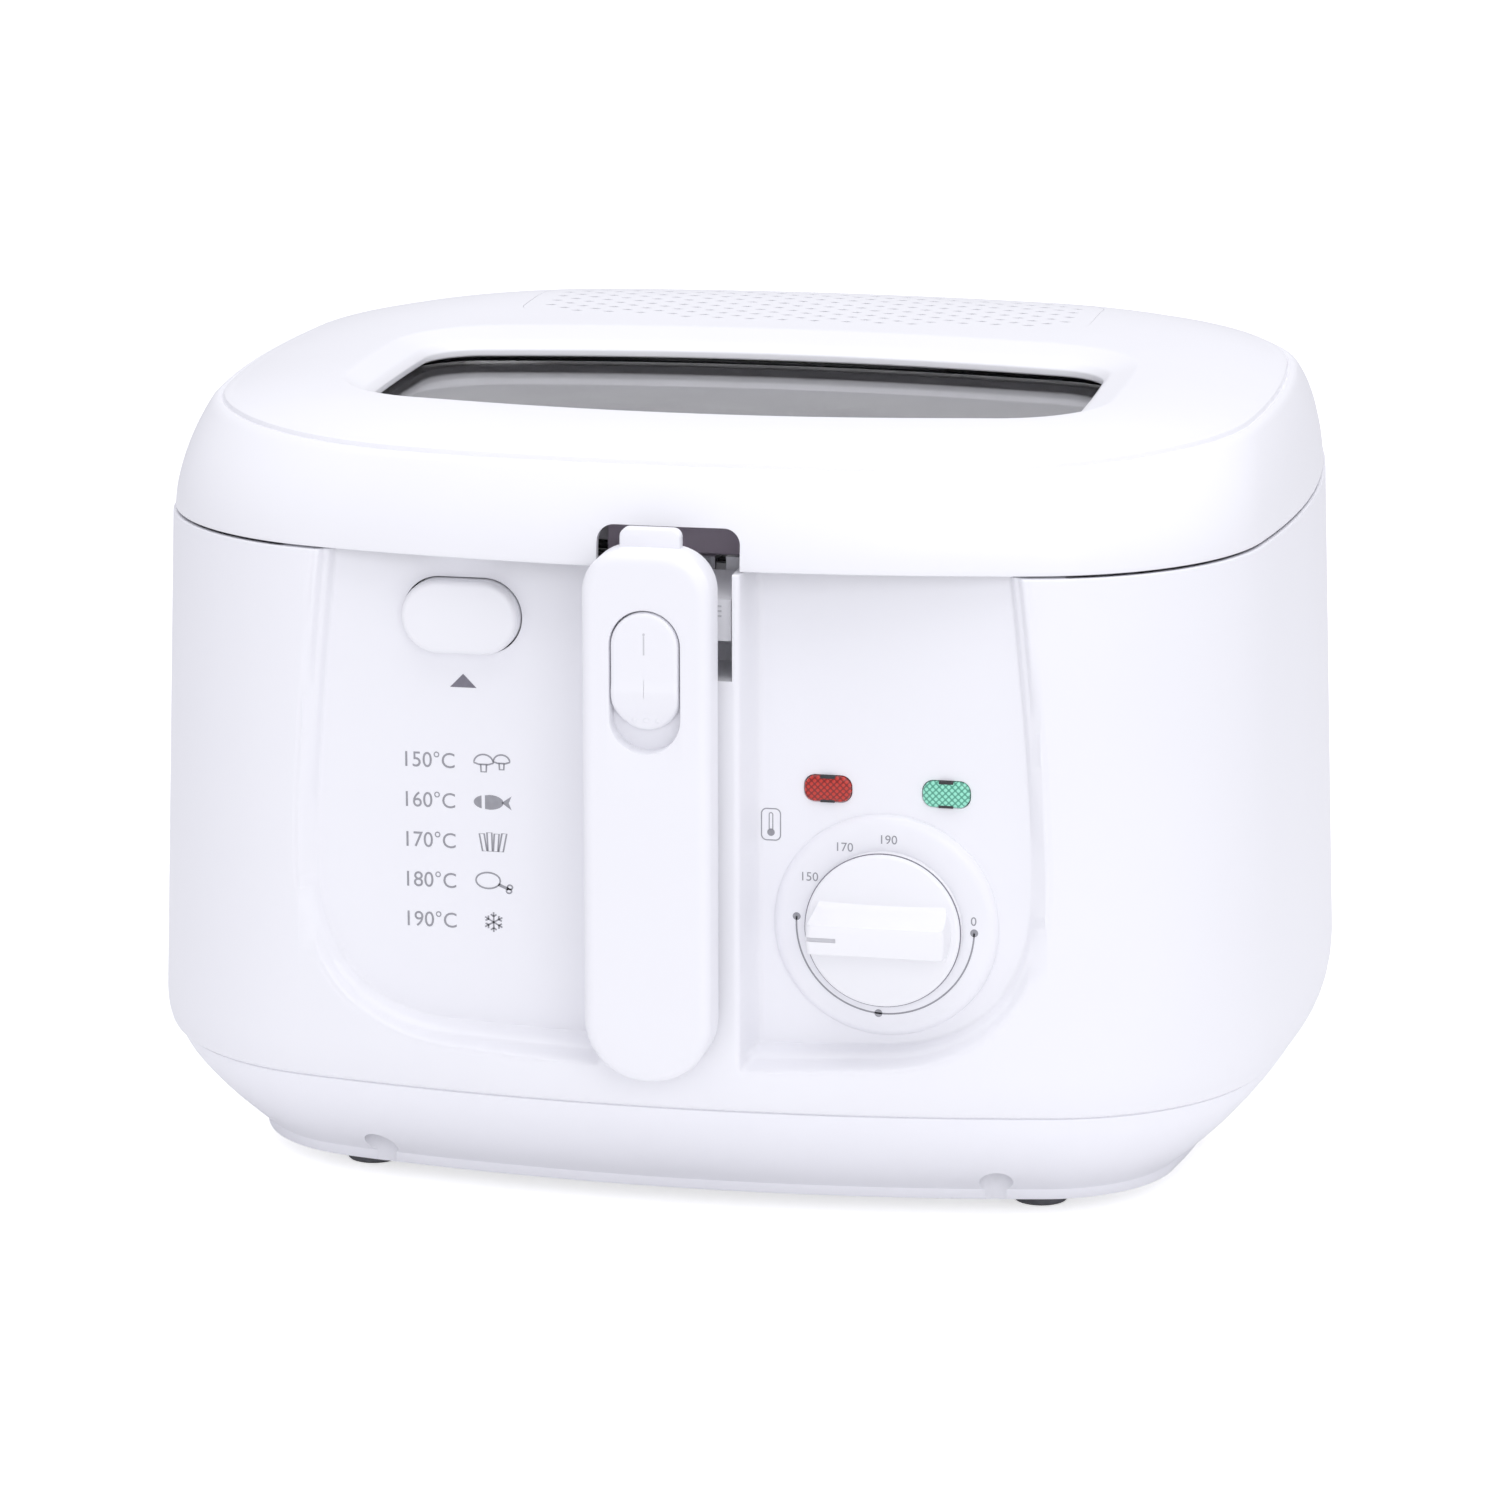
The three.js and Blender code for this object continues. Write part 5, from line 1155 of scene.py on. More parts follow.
# Handle
RECESS_HALF = 10.6
RECESS_TOP_Z = 198.9
RECESS_BOTTOM_Z = 155.9
RECESS_DEPTH = 5.8
SLIDE_HALF = 10.1
SLIDE_TOP_Z = 198.4
SLIDE_LENGTH = 36.0
RAMP_TOP = 11.0
RAMP_LENGTH = 10.0
RAMP_DEPTH = 3.4
RIDGE_AT = 12.0
RIDGE_HALF = 1.5
RIDGE_HEIGHT = 0.55
SLIDE_FRONT_Y = HANDLE_FRONT_Y - 0.6


def handle_outline(inset, y):
    return rounded_ring(
        inset - HANDLE_HALF,
        HANDLE_HALF - inset,
        HANDLE_BOTTOM_Z + inset,
        HANDLE_TOP_Z - inset,
        13.0 - inset * 0.6,
        18.7 - inset,
        y,
    )


def handle():
    edge = 3.6
    rings = [handle_outline(2.7, HANDLE_BACK_Y + 0.1), handle_outline(0.8, HANDLE_BACK_Y)]
    rings.append(handle_outline(0, HANDLE_BACK_Y - 0.8))
    rings.append(handle_outline(0, HANDLE_FRONT_Y + edge))
    for cosine, sine in quarter(8):
        rings.append(handle_outline(edge * (1 - cosine), HANDLE_FRONT_Y + edge * (1 - sine)))
    face = rings[-1]
    recess_lip = pill_ring(0, RECESS_BOTTOM_Z - 0.5, RECESS_TOP_Z + 0.5, RECESS_HALF + 0.5, HANDLE_FRONT_Y)
    for share in (0.12, 0.5, 0.88, 1.0):
        rings.append(face * (1 - share) + recess_lip * share)
    for grow, sink in ((0.15, 0.12), (0.0, 0.5), (0.0, RECESS_DEPTH)):
        y = HANDLE_FRONT_Y + sink
        rings.append(pill_ring(0, RECESS_BOTTOM_Z - grow, RECESS_TOP_Z + grow, RECESS_HALF + grow, y))
    shell = lofted("handle_shell", rings)
    hollow_half, hollow_top = HANDLE_HALF - 2.7, HANDLE_TOP_Z - 2.7
    hollow = rounded_ring(-hollow_half, hollow_half, HANDLE_BOTTOM_Z + 2.7, hollow_top, 10.3, 16.0, 0)
    inner = front_prism("hollow", hollow, -166.2, HANDLE_BACK_Y + 5)
    above = rounded_ring(-hollow_half, hollow_half, 201.5, hollow_top, 10.3, 1, 0)
    upper = front_prism("upper", above, -171.2, -164)
    stem = box_object("stem", -3.5, 3.5, -172, -162, 167.9, 186.9)
    boolean(shell, [inner, upper, stem])
    whole = joined("handle", [shell, tongue_piece()])
    dress(whole, "handle", "handle_plastic", ["handle_grip"])


def tongue_piece():
    """The lip on top of the handle, which lies over the holder when the handle is unfolded."""
    front, back, half = -166.5, -161.4, 9.1
    edge = [(0.8, 0), (0.25, 0.25), (0, 0.9)]
    places = [(inset, front + sink) for inset, sink in edge]
    places += [(inset, back - sink) for inset, sink in reversed(edge)]
    rings = []
    for inset, y in places:
        rings.append(rounded_ring(inset - half, half - inset, 213.7, 221.8 - inset, 2.6, 0.3, y, 8, 4))
    return lofted("tongue", rings)


handle()


def slide_button():
    """The sliding lock: a pill with a thumb ramp cut into its lower end, and three bumps."""
    low = SLIDE_TOP_Z - SLIDE_LENGTH
    depth = RECESS_DEPTH - 0.3 + 0.6
    rings = []
    profile = [(0, depth), (0, 1.1), (0.3, 0.4), (0.9, 0.05)]
    profile += [(inset, 0) for inset in (1.4, 3.0, 4.6, 6.2, 7.8, 9.2, 9.8, 10.06)]
    for inset, sink in profile:
        ring = pill_ring(0, low + inset, SLIDE_TOP_Z - inset, SLIDE_HALF - inset, SLIDE_FRONT_Y + sink)
        if sink < 2:
            ring = thumb_ramp(ring, low)
        rings.append(ring)
    cap = lofted("slide_cap", rings)
    bumps = [bump_dot("bump", x, SLIDE_FRONT_Y + 3.1, low + 3.4, 1.0) for x in (-3.6, 0, 3.6)]
    bumps += [bump_dot("bump", x, SLIDE_FRONT_Y + 2.7, low + 5.4, 0.7) for x in (-1.8, 1.8)]
    whole = joined("slide_lock", [cap, *bumps])
    dress(whole, "slide_lock", "slide_plastic", ["handle_slide"])
    # A grey line and dot on the slide: painted shade of a scored mark
    line = box_object("line", -0.25, 0.25, SLIDE_FRONT_Y - 0.05, SLIDE_FRONT_Y + 0.4, 185.8, 191.6, 0.1)
    dot = bump_dot("dot", 0, SLIDE_FRONT_Y + 0.42, 192.0, 0.75)
    dress(joined("slide_line", [line, dot]), "slide_lock", "slide_plastic", material=PAINTED_MARK_SHADE)


def thumb_ramp(ring, low):
    """Sinks the slide's lower end for the thumb, under a low ridge."""
    moved = ring.copy()
    share = ease((low + RAMP_TOP - ring[:, 2]) / RAMP_LENGTH)
    ridge = np.exp(-(((ring[:, 2] - low - RIDGE_AT) / RIDGE_HALF) ** 2))
    moved[:, 1] += RAMP_DEPTH * share - RIDGE_HEIGHT * ridge
    return moved


def bump_dot(name, x, y, z, radius):
    profile = [(radius * cosine, y - 0.5 * sine) for cosine, sine in quarter(6, 0)[:-1]]
    return lathe_y(name, [*profile, (0.02, y - 0.5)], x, z, 16)


slide_button()


# Basket holder, seen right of the handle, and the shield behind the lid's notch
def holder_marks():
    """Three small moulded marks on the holder's right arm, coloured grey as painted shade of embossed dots.
    """
    marks = []
    for z in (193.5, 195.0, 196.5):
        marks.append(box_object("mark", 16.9, 18.5, -152.1, -151.8, z - 0.3, z + 0.3, 0.08))
    dress(joined("holder_marks", marks), "basket", "handle_plastic", material=PAINTED_MARK_SHADE)


def steam_shield():
    """The plate on the basket's hanger that closes the notch from behind, coloured dark purple-grey as
    painted shade inside the notch.
    """
    left, right, low, high = -21.6, 22.0, 206.75, 220.4
    rings = []
    for inset, y in ((0.5, -127.6), (0, -127.2), (0, -126.4), (0.5, -126.0)):
        ends = (left + inset, right - inset, low + inset, high - inset)
        rings.append(rounded_ring(*ends, 4.0, 0.8, y, 8, 4))
    dress(lofted("steam_shield", rings), "basket", "handle_plastic", material=SHIELD_PAINTED_SHADE)


holder_marks()
steam_shield()


# Basket
BASKET_Y = -16.0
WIRE = 0.6
RIM_WIRE = 2.0
RIM_HALF_X = 100.0
RIM_HALF_Y = 74.0
NET_HALF_X = 97.4
NET_HALF_Y = 73.4
NET_FLOOR_Z = 96.0
NET_PITCH = 6.0
SAME_PLACE = 0.05
NET_SIDES = 6
RIM_WIRE_Z = 188.0


def flat_loop(half_x, half_y, corner, z):
    front, back = BASKET_Y - half_y, BASKET_Y + half_y
    return laid_flat(rounded_ring(-half_x, half_x, front, back, corner, corner, 0, 8, 4), z)


def without_repeats(path):
    """A closed path without the points that stand on each other."""
    keep = [0]
    for k in range(1, len(path)):
        if np.linalg.norm(path[k] - path[keep[-1]]) > SAME_PLACE:
            keep.append(k)
    if np.linalg.norm(path[keep[-1]] - path[0]) < SAME_PLACE:
        keep.pop()
    return path[keep]


def bent_wire(half, corner, floor_z):
    """Down one side, along the floor and up the other: pairs of across and z."""
    points = [(-half, RIM_WIRE_Z), (-half, 150.0), (-half, floor_z + corner)]
    points += [(-half + corner * (1 - cosine), floor_z + corner * (1 - sine)) for cosine, sine in quarter(6)]
    points.append((0.0, floor_z))
    return np.array(points + [(-across, z) for across, z in points[-2::-1]])


def basket_net():
    wires = []
    for z in np.arange(NET_FLOOR_Z + 9.0, RIM_WIRE_Z - 3, NET_PITCH):
        path = without_repeats(flat_loop(NET_HALF_X, NET_HALF_Y, 13.0, z))
        wires.append(swept("hoop", path, WIRE, (0, 0, 1), True, NET_SIDES))
    for x in np.arange(-84.0, 84.5, NET_PITCH):
        shape = bent_wire(NET_HALF_Y + 0.9, 8.0, NET_FLOOR_Z)
        path = np.stack([np.full(len(shape), x), BASKET_Y + shape[:, 0], shape[:, 1]], 1)
        wires.append(swept("bent", path, WIRE, (1, 0, 0), False, NET_SIDES))
    for y in np.arange(-60.0, 60.5, NET_PITCH):
        shape = bent_wire(NET_HALF_X + 0.9, 8.0, NET_FLOOR_Z + 1.0)
        path = np.stack([shape[:, 0], np.full(len(shape), BASKET_Y + y), shape[:, 1]], 1)
        wires.append(swept("bent", path, WIRE, (0, 1, 0), False, NET_SIDES))
    nets = ["basket_net_" + side for side in ("front", "back", "left", "right", "floor")]
    dress(joined("basket_net", wires), "basket", "wire_steel", nets, 70.0)
    path = without_repeats(flat_loop(RIM_HALF_X, RIM_HALF_Y, 14.0, RIM_WIRE_Z))
    rim = swept("basket_rim_wire", path, RIM_WIRE, (0, 0, 1), True, 16)
    dress(rim, "basket", "wire_steel", ["basket_rim"], 50.0)


basket_net()


# Springs
COIL_SHARES = [0, 0.16, 0.84, 1]
COIL_RISES = [0, 0.07, 0.93, 1]
SLIDE_SPRING_Y = -164.4


def helix(centre, axis, radius, low, high, turns, steps=26):
    """A coil about a line along Y or Z, with its end turns closed up."""
    count = int(turns * steps)
    points = []
    for k in range(count + 1):
        share = k / count
        angle = 2 * math.pi * turns * share
        height = low + (high - low) * np.interp(share, COIL_SHARES, COIL_RISES)
        a, b = radius * math.cos(angle), radius * math.sin(angle)
        if axis == "Y":
            points.append((centre[0] + a, height, centre[1] + b))
        else:
            points.append((centre[0] + a, centre[1] + b, height))
    return points


def springs():
    """The button's spring behind the panel and the slide's in the handle, each coil on a mesh of its own; the
    real springs shorten as their joints move.
    """
    path = helix((BUTTON_X, BUTTON_Z), "Y", 3.6, -130.6, -120.34, 5)
    coil = swept("latch_coil", path, 0.4, (0, 1, 0))
    dress(coil, "fryer_body", "spring_steel", ["latch_spring"], 60.0)
    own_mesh(coil)
    path = helix((0, SLIDE_SPRING_Y), "Z", 1.07, 152.34, 173.82, 9, 18)
    coil = swept("slide_coil", path, 0.18, (0, 0, 1), sides=6)
    dress(coil, "handle", "spring_steel", ["handle_slide_spring"], 60.0)
    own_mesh(coil)


springs()


# Release button
def release_button():
    front, back = PANEL_Y - 5.0, -134.8
    profile = [(0.0, back - front), (0.0, 1.9)]
    profile += [(1.9 * (1 - cosine), 1.9 * (1 - sine)) for cosine, sine in quarter(7)]
    profile += [(4.0, -0.12), (6.5, -0.2), (9.0, -0.25), (11.0, -0.27)]
    rings = []
    for inset, sink in profile:
        high = BUTTON_HALF_Z - inset
        corner = max(high - 0.01, 0.02)
        left, right = BUTTON_X - BUTTON_HALF_X + inset, BUTTON_X + BUTTON_HALF_X - inset
        ends = (left, right, BUTTON_Z - high, BUTTON_Z + high)
        rings.append(rounded_ring(*ends, corner, corner, front + sink))
    cap = lofted("release_button", rings)
    dress(cap, "latch", "button_plastic", ["lid_button"])


release_button()


# Dial knob
KNOB_RADIUS = 23.5
KNOB_ROUND = 1.3
RIM_SHADOW_RADIUS = 23.4
KNOB_BACK_Y = PANEL_Y - 2.8
KNOB_FACE_Y = KNOB_BACK_Y - 5.2
BAR_FRONT_Y = KNOB_FACE_Y - 13.0
BAR_REACH = 20.9
BAR_EDGE_DEPTHS = [0, 0.1, 0.55, 0.6]
BAR_EDGE_INSETS = [1.3, 0.85, 0.3, 0.0]
BAR_END_SHARE = 1.3
BAR_LEVELS = [
    (0.0, 5.25),
    (0.1, 5.25),
    (0.55, 4.9),
    (1.3, 4.55),
    (2.4, 4.75),
    (5.0, 5.1),
    (8.0, 5.7),
    (11.0, 6.6),
    (12.4, 7.6),
    (13.2, 9.0),
]


def dial_knob():
    profile = [(KNOB_RADIUS - 0.3, KNOB_BACK_Y), (KNOB_RADIUS, KNOB_BACK_Y - 0.3)]
    profile.append((KNOB_RADIUS, KNOB_FACE_Y + KNOB_ROUND))
    for cosine, sine in quarter(5):
        radius = KNOB_RADIUS - KNOB_ROUND + KNOB_ROUND * cosine
        profile.append((radius, KNOB_FACE_Y + KNOB_ROUND - KNOB_ROUND * sine))
    profile += [(12.0, KNOB_FACE_Y - 0.25), (0.05, KNOB_FACE_Y - 0.35)]
    disc = lathe_y("knob_disc", profile, DIAL_X, DIAL_Z, 128)
    bar = knob_bar()
    left, right = DIAL_X - 20.6, DIAL_X - 11.6
    low, high = DIAL_Z - 0.65, DIAL_Z + 0.65
    boolean(bar, [box_object("cut", left, right, BAR_FRONT_Y - 2, BAR_FRONT_Y + 0.55, low, high, 0.2)])
    dress(joined("dial_knob", [disc, bar]), "dial", "knob_plastic", ["temperature_knob"])
    # A grey line at the bottom of the cut in the bar: painted shade of the pointer groove
    front, back = BAR_FRONT_Y + 0.35, BAR_FRONT_Y + 0.9
    line = box_object("pointer_line", left + 0.2, right - 0.2, front, back, DIAL_Z - 0.5, DIAL_Z + 0.5)
    dress(line, "dial", "knob_plastic", material=PAINTED_MARK_SHADE)
    # A dark ring round the knob's rim: painted shadow of the gap between the knob and its boss
    turn = round_angles(120)
    across, up = RIM_SHADOW_RADIUS * np.cos(turn), RIM_SHADOW_RADIUS * np.sin(turn)
    circle = [DIAL_X + across, np.full(120, KNOB_FACE_Y + 1.4), DIAL_Z + up]
    rim_shadow = swept("knob_rim_painted_shadow", np.stack(circle, 1), 0.36, (0, 1, 0), True, 6)
    dress(rim_shadow, "dial", "knob_plastic", material=DARK_INK_AND_PAINTED_SHADOW)


def knob_bar():
    """A grip right across the disc, its sides flaring gently into the disc's face."""
    rings = []
    for depth, half in BAR_LEVELS:
        shrink = float(np.interp(depth, BAR_EDGE_DEPTHS, BAR_EDGE_INSETS))
        rings.append(bar_ring(BAR_REACH - BAR_END_SHARE * shrink, half - shrink, BAR_FRONT_Y + depth))
    rings.append(bar_ring(BAR_REACH, 9.0, KNOB_FACE_Y + 1.0))
    return lofted("knob_bar", rings)


def bar_ring(reach, half, y):
    """Two flat sides whose ends follow the disc's own rim."""
    limit = math.asin(min(0.95, half / reach))
    points = []
    for side in (1, -1):
        for k in range(9):
            angle = -limit + 2 * limit * k / 8
            across, up = reach * math.cos(angle), reach * math.sin(angle)
            points.append((DIAL_X + side * across, y, DIAL_Z + side * up))
        for k in range(1, 24):
            x = side * reach * math.cos(limit) * (1 - 2 * k / 24)
            points.append((DIAL_X + x, y, DIAL_Z + side * half))
    return np.array(points)


dial_knob()


# Lamps
LENS_PROFILE = [(0, 2.4), (0, -0.5), (0.25, -0.95), (0.8, -1.2), (2.0, -1.3), (3.4, -1.35)]


def lamp(name, x, slot):
    rings = []
    for inset, sink in LENS_PROFILE:
        half_x, half_z = 7.1 - inset, 3.95 - inset
        corner = max(0.3, 3.3 - inset)
        low, high = LAMP_Z - half_z, LAMP_Z + half_z
        rings.append(rounded_ring(x - half_x, x + half_x, low, high, corner, corner, PANEL_Y + sink, 8, 5))
    dress(lofted(name + "_lens", rings), "fryer_body", slot, [name + "_lamp_lens"])
    # Small clips above and below the lens; their black is painted shadow of the bezel clips
    front, back = PANEL_Y - 1.25, PANEL_Y + 0.5
    clips = []
    for z in (LAMP_Z - 3.65, LAMP_Z + 3.65):
        clips.append(box_object("clip", x - 2.2, x + 2.2, front, back, z - 0.42, z + 0.42, 0.12))
    dress(joined(name + "_lens_clips_painted_shadow", clips), "fryer_body", "black_plastic")


lamp("power", DIAL_X - LAMP_SPREAD, "red_lens")
lamp("heating", DIAL_X + LAMP_SPREAD, "green_lens")


# Prints on the panel and the dial boss: flat shapes of (x, z) points with faces
PRINT_RAISE = 0.05
STROKE = 0.5
TEXT_X, ICON_X = -74.3, -55.0
ROW_TOP_Z, ROW_PITCH = 142.4, 12.5
THERMOMETER_X, THERMOMETER_Z = 30.9, 127.0
SCALE_RADIUS = 27.0


def ribbon(path, width=STROKE, closed=False):
    """A flat stroke along a path."""
    path = np.asarray(path, float)
    along = directions(path, closed)
    side = np.stack([-along[:, 1], along[:, 0]], 1) * width / 2
    count = len(path)
    points = np.concatenate([path - side, path + side])
    steps = count if closed else count - 1
    faces = [(k, (k + 1) % count, (k + 1) % count + count, k + count) for k in range(steps)]
    return points, faces


def filled(outline):
    return np.asarray(outline, float), [tuple(range(len(outline)))]


def ellipse(x, z, half_x, half_z, start=0, stop=360, count=28):
    angle = np.radians(np.linspace(start, stop, count, endpoint=stop - start < 360))
    return np.stack([x + half_x * np.cos(angle), z + half_z * np.sin(angle)], 1)


def printed(name, shapes, y, material=GREY_INK):
    points, faces = [], []
    for shape_points, shape_faces in shapes:
        faces += [tuple(i + len(points) for i in face) for face in shape_faces]
        points += [(x, y - PRINT_RAISE, z) for x, z in shape_points]
    dress(plain_object(name, points, faces), "fryer_body", "housing_plastic", material=material)


def number_shape(text, x, z, width, height):
    """Plain upright figures, scaled to a width and a height about a middle."""
    data = bpy.data.curves.new("figures", "FONT")
    data.body = text
    data.resolution_u = 4
    obj = linked("figures", data)
    bpy.context.view_layer.update()
    mesh = bpy.data.meshes.new_from_object(obj.evaluated_get(bpy.context.evaluated_depsgraph_get()))
    flat = np.array([(v.co.x, v.co.y) for v in mesh.vertices])
    faces = [tuple(p.vertices) for p in mesh.polygons]
    bpy.data.objects.remove(obj)
    low, high = flat.min(0), flat.max(0)
    size = np.array([width or (high - low)[0] * height / (high - low)[1], height])
    flat = (flat - (low + high) / 2) * size / (high - low) + [x, z]
    return flat, faces


def shifted(shapes, x, z):
    return [(points + [x, z], faces) for points, faces in shapes]


def temperatures():
    shapes = []
    for k, text in enumerate(("150°C", "160°C", "170°C", "180°C", "190°C")):
        shapes.append(number_shape(text, TEXT_X, ROW_TOP_Z - ROW_PITCH * k, 15.4, 5.0))
    printed("temperature_column", shapes, PANEL_Y)


def mushrooms():
    shapes = []
    for x, z, size in ((-2.6, -0.3, 1.0), (3.0, 0.2, 0.85)):
        cap = np.concatenate([ellipse(0, 0, 3.0, 2.6, 0, 180, 16), [(-1.5, -0.5), (1.5, -0.5)]])
        stem = np.array([(-0.9, -0.5), (-0.8, -2.8), (0.8, -2.8), (0.9, -0.5)])
        shapes.append(ribbon(cap * size + [x, z], closed=True))
        shapes.append(ribbon(stem * size + [x, z]))
    return shapes


def fish():
    head = ellipse(-1.2, 0, 4.6, 2.3, 118, 242, 14)
    trunk = np.concatenate([ellipse(-0.9, 0, 4.4, 2.3, -90, 90, 14), [(-2.3, 2.1), (-2.3, -2.1)]])
    tail = [(2.9, 0), (6.0, 2.2), (5.1, 0), (6.0, -2.2)]
    return [filled(head), filled(trunk), filled(tail)]


def chips():
    shapes = []
    for x, lean, high in ((-3.6, -0.9, 2.6), (-1.2, -0.2, 3.0), (1.2, 0.4, 2.7), (3.6, 1.1, 2.9)):
        low, top = 0.7 * x, 0.7 * x + lean
        outline = [(low - 0.7, -2.8), (low + 0.7, -2.8), (top + 0.75, high), (top - 0.75, high)]
        shapes.append(ribbon(outline, closed=True))
    return shapes


def drumstick():
    meat = ribbon(ellipse(-1.6, 0.5, 3.8, 2.5, count=24), closed=True)
    bone = ribbon([(1.6, -0.6), (4.8, -1.9)], 0.9)
    ends = [ribbon(ellipse(x, z, 0.8, 0.7, count=12), closed=True) for x, z in ((5.2, -1.3), (4.9, -2.5))]
    return [meat, bone, *ends]


def snowflake():
    shapes = []
    for k in range(6):
        angle = math.radians(60 * k + 30)
        along = np.array([math.cos(angle), math.sin(angle)])
        shapes.append(ribbon([(0, 0), 3.1 * along]))
        for turn in (-55, 55):
            side = angle + math.radians(turn)
            branch = 1.1 * np.array([math.cos(side), math.sin(side)])
            shapes.append(ribbon([1.8 * along, 1.8 * along + branch]))
    return shapes


def icons():
    for k, draw in enumerate((mushrooms, fish, chips, drumstick, snowflake)):
        printed("icon_" + draw.__name__, shifted(draw(), ICON_X, ROW_TOP_Z - ROW_PITCH * k), PANEL_Y)
    arrow = [(BUTTON_X - 4.1, 165.2), (BUTTON_X + 4.1, 165.2), (BUTTON_X, 169.4)]
    printed("release_arrow", [filled(arrow)], PANEL_Y, DARK_INK_AND_PAINTED_SHADOW)


def thermometer():
    tube = [(-0.55, -1.1), *ellipse(0, 3.6, 0.55, 0.55, 180, 0, 8), (0.55, -1.1)]
    bulb = ellipse(0, -1.9, 1.15, 1.15)
    border = without_repeats(rounded_ring(-2.9, 2.9, -4.3, 5.4, 1.6, 1.6, 0, 6, 2))[:, [0, 2]]
    shapes = [ribbon(tube, 0.3), filled(bulb), ribbon(border, 0.35, True)]
    printed("thermometer", shifted(shapes, THERMOMETER_X, THERMOMETER_Z), PANEL_Y)


def on_scale(degrees):
    turn = math.radians(degrees)
    return DIAL_X + SCALE_RADIUS * math.cos(turn), DIAL_Z + SCALE_RADIUS * math.sin(turn)


def dial_scale():
    shapes = [ribbon(ellipse(DIAL_X, DIAL_Z, SCALE_RADIUS, SCALE_RADIUS, -184, -1, 90))]
    shapes += [filled(ellipse(*on_scale(degrees), 1.2, 1.2)) for degrees in (-184, -94, -1)]
    for text, degrees in (("150", 147.8), ("170", 117.0), ("190", 87.7), ("0", 6.7)):
        shapes.append(number_shape(text, *on_scale(degrees), 0, 2.7))
    printed("dial_scale", shapes, BOSS_FACE_Y)


temperatures()
icons()
thermometer()
dial_scale()


# Oil pot with a rolled rim, a round foot and two fill marks
POT_FLOOR_Z, POT_RIM_Z = 78.0, 204.8
POT_WALL, POT_ROUND = 1.5, 14.0


def pot_foot(wall):
    """Insets and heights of the round foot from the floor up, outside or a wall further in."""
    radius, low = POT_ROUND - wall, POT_FLOOR_Z + wall
    bend = [(wall + radius * (1 - sine), low + radius * (1 - cosine)) for cosine, sine in quarter(9)]
    return [(POT_ROUND + 4, low), (POT_ROUND, low), *bend]


def oil_pot():
    rim = [(0, 202.5), (-0.3, 203.0), (-0.9, 203.2), (-8.4, 203.25), (-8.9, 203.6), (-9, 204.1)]
    rim += [(-8.7, 204.6), (-8.2, POT_RIM_Z), (-1.2, POT_RIM_Z), (0.3, 204.5), (1.1, 203.7)]
    rim.append((POT_WALL, 202.6))
    profile = pot_foot(0) + rim + pot_foot(POT_WALL)[::-1]
    pot = lofted("oil_pot_shell", plan_rings(POT, profile))
    marks = [box_object("mark", -12, 12, 77.8, 78.7, z - 0.6, z + 0.6, 0.25) for z in (138.8, 158.8)]
    dress(joined("oil_pot", [pot, *marks]), "fryer_body", "pot_coating", ["oil_pot"])


oil_pot()


# Screws, each with a cross recess and a ridged shank
def screw(name, x, y, low, head_high, top, body, shank=1.7):
    profile = [(3.3, low), (3.8, low + 0.25), (4.1, low + 0.8), (4.1, head_high), (shank, head_high)]
    for z in np.arange(head_high + 0.8, top - 1.4, 0.8):
        profile += [(shank, z), (shank - 0.35, z + 0.4)]
    profile += [(shank, top - 1.0), (shank * 0.4, top)]
    whole = lathe_z(name + "_cross", profile, x, y, 32)
    cuts = [box_object("cut", x - 2.2, x + 2.2, y - 0.5, y + 0.5, low - 1, low + 1.2)]
    cuts.append(box_object("cut", x - 0.5, x + 0.5, y - 2.2, y + 2.2, low - 1, low + 1.2))
    boolean(whole, cuts)
    dress(whole, body, "screw_steel", [name])


def screws():
    for depth, y in (("front", -BASE_SCREW_Y), ("rear", BASE_SCREW_Y)):
        for side, x in (("left", -BASE_SCREW_X), ("right", BASE_SCREW_X)):
            screw(f"base_screw_{depth}_{side}", x, y, 18.6, 21.4, 41.2, "fryer_body")
    for depth, y in zip(("front", "rear"), LID_SCREW_YS):
        for side, x in (("left", -LID_SCREW_X), ("right", LID_SCREW_X)):
            screw(f"lid_screw_{side}_{depth}", x, y, 228.8, 231.3, 235.6, "lid", 1.5)


screws()


# Hinge and handle pins with chamfered ends
def pin(name, x0, x1, y, z, radius, body, node):
    dress(bar_x(name, x0, x1, y, z, radius, 32), body, "pin_steel", [node])


pin("hinge_axle_left", -HINGE_X - 14, -HINGE_X + 14, HINGE_Y, HINGE_Z, 2.4, "fryer_body", "hinge_pin_left")
pin("hinge_axle_right", HINGE_X - 14, HINGE_X + 14, HINGE_Y, HINGE_Z, 2.4, "fryer_body", "hinge_pin_right")
pin("handle_axle", -14.9, 14.9, PIVOT_Y, PIVOT_Z, 1.9, "handle", "handle_pin")


# Cord gland at the back, with a blind bore and ribs
def cord_gland():
    profile = [(6.4, 149.7), (6.9, 150.1), (6.9, 155.7), (9.6, 155.7), (10, 156.0), (10, 156.7), (9.5, 157.1)]
    profile += [(7.6, 157.2), (7.6, 157.6), (8.1, 157.7), (8.1, 158.1), (7.6, 158.2), (7.4, 158.8)]
    profile += [(6.8, 158.9), (4.0, 158.9), (3.6, 158.5), (3.6, 153.0)]
    gland = lathe_y("cord_gland_ribbed", profile, 0, GLAND_Z, 64)
    dress(gland, "fryer_body", "seal_rubber", ["cord_gland"])


cord_gland()


# Camera and light
CAMERA_AZIMUTH, CAMERA_ELEVATION = 11.53, 13.81
CAMERA_DISTANCE = 1878.17
CAMERA_TARGET_Z = 115.0
CAMERA_LENS = 139.22
CAMERA_SHIFT = (-0.00869, 0.00068)
FLOOR_GLOW = 0.6
WORLD_LEVEL = 0.71
TOP_POWER = 12.2
FRONT_POWER = 6.8


def look_from(obj, target):
    direction = Vector(target) - obj.location
    obj.rotation_euler = direction.to_track_quat("-Z", "Y").to_euler()


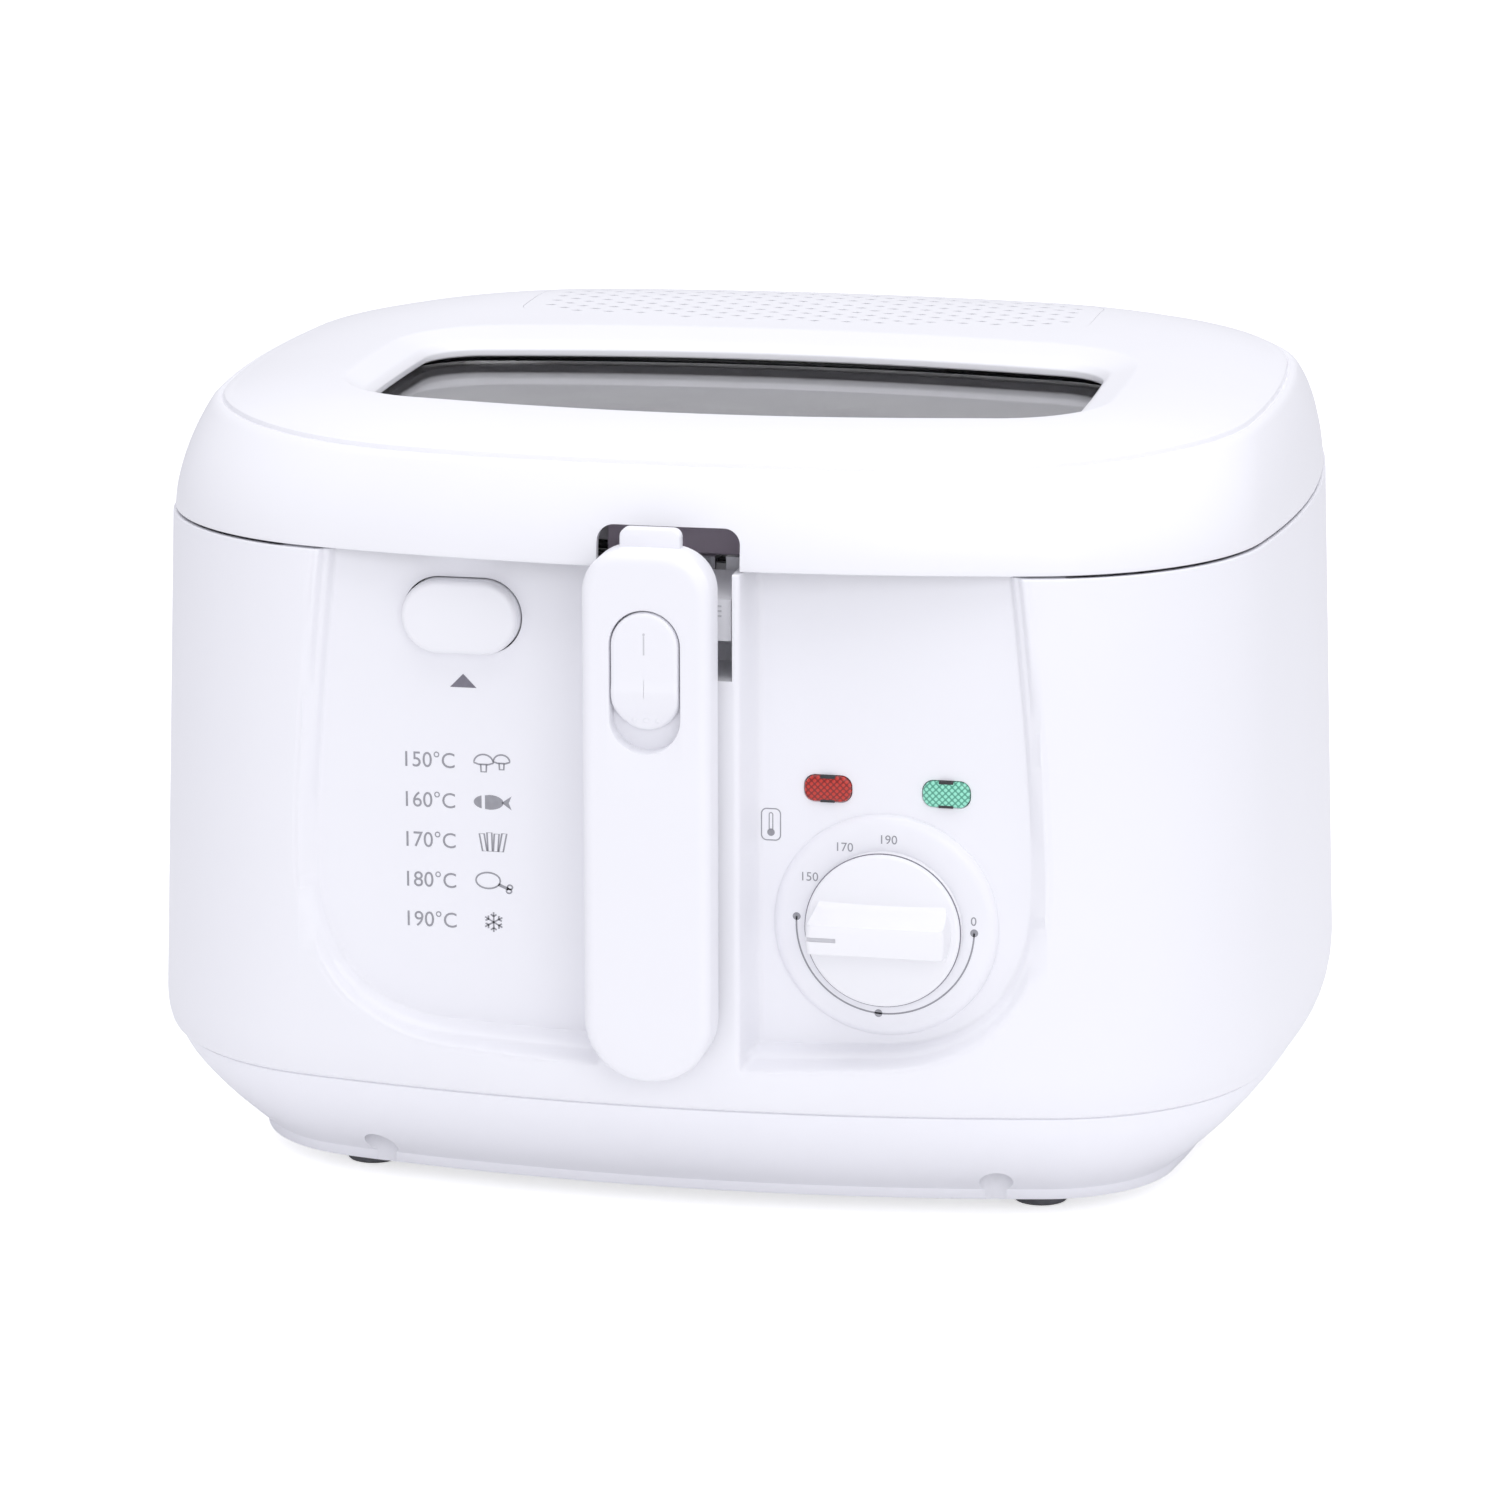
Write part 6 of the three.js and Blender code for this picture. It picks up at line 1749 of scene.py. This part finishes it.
def camera():
    azimuth, elevation = math.radians(CAMERA_AZIMUTH), math.radians(CAMERA_ELEVATION)
    target = (0.0, SHIFT_Y, CAMERA_TARGET_Z)
    back = (
        math.sin(azimuth) * math.cos(elevation),
        -math.cos(azimuth) * math.cos(elevation),
        math.sin(elevation),
    )
    data = bpy.data.cameras.new("camera")
    data.sensor_width = 36.0
    data.lens = CAMERA_LENS
    data.shift_x, data.shift_y = CAMERA_SHIFT
    obj = linked("camera", data)
    obj.location = [(target[i] + CAMERA_DISTANCE * back[i]) * MM for i in range(3)]
    look_from(obj, [c * MM for c in target])
    bpy.context.scene.camera = obj


camera()


def floor():
    """A pale floor that reads as white to the camera and still takes the fryer's shadow."""
    mesh = bpy.data.meshes.new("floor")
    reach = 6.0
    corners = [(-reach, -reach, 0), (reach, -reach, 0), (reach, reach, 0), (-reach, reach, 0)]
    mesh.from_pydata(corners, [], [(0, 1, 2, 3)])
    obj = linked("floor", mesh)
    material, tree, shader = node_material("floor")
    put(shader, {"Base Color": (0.97, 0.97, 0.97, 1), "Roughness": 0.9, "Specular IOR Level": 0.1})
    glow = tree.nodes.new("ShaderNodeEmission")
    ray = tree.nodes.new("ShaderNodeLightPath")
    scale = tree.nodes.new("ShaderNodeMath")
    scale.operation = "MULTIPLY"
    scale.inputs[1].default_value = FLOOR_GLOW
    tree.links.new(ray.outputs["Is Camera Ray"], scale.inputs[0])
    tree.links.new(scale.outputs["Value"], glow.inputs["Strength"])
    both = tree.nodes.new("ShaderNodeAddShader")
    tree.links.new(shader.outputs["BSDF"], both.inputs[0])
    tree.links.new(glow.outputs["Emission"], both.inputs[1])
    out = next(n for n in tree.nodes if n.type == "OUTPUT_MATERIAL")
    tree.links.new(both.outputs["Shader"], out.inputs["Surface"])
    mesh.materials.append(material)


floor()


def world():
    """Lights the scene evenly; the camera and the window's glass see it pure white."""
    scene_world = bpy.data.worlds.new("studio")
    scene_world.use_nodes = True
    bpy.context.scene.world = scene_world
    tree = scene_world.node_tree
    background = next(n for n in tree.nodes if n.type == "BACKGROUND")
    ray = tree.nodes.new("ShaderNodeLightPath")
    seen = tree.nodes.new("ShaderNodeMath")
    seen.operation = "MAXIMUM"
    tree.links.new(ray.outputs["Is Camera Ray"], seen.inputs[0])
    tree.links.new(ray.outputs["Is Transmission Ray"], seen.inputs[1])
    level = add_node(tree, "ShaderNodeMapRange", {"To Min": WORLD_LEVEL, "To Max": 1.0})
    tree.links.new(seen.outputs["Value"], level.inputs["Value"])
    white = tree.nodes.new("ShaderNodeMix")
    white.data_type = "RGBA"
    put(white, {"A": (0.93, 0.93, 1.0, 1), "B": (1, 1, 1, 1)})
    tree.links.new(seen.outputs["Value"], white.inputs["Factor"])
    tree.links.new(white.outputs["Result"], background.inputs["Color"])
    tree.links.new(level.outputs["Result"], background.inputs["Strength"])


world()


def area_light(name, location, target, size, power):
    data = bpy.data.lights.new(name, "AREA")
    data.shape = "RECTANGLE"
    data.size, data.size_y = size
    data.energy = power
    obj = linked(name, data)
    obj.location = location
    look_from(obj, target)


area_light("top", (0.2, -0.3, 1.6), (0, 0, 0.15), (1.6, 1.2), TOP_POWER)
area_light("front", (0.7, -1.9, 0.9), (0, 0, 0.12), (1.2, 1.0), FRONT_POWER)

bpy.context.scene.view_settings.view_transform = "Standard"
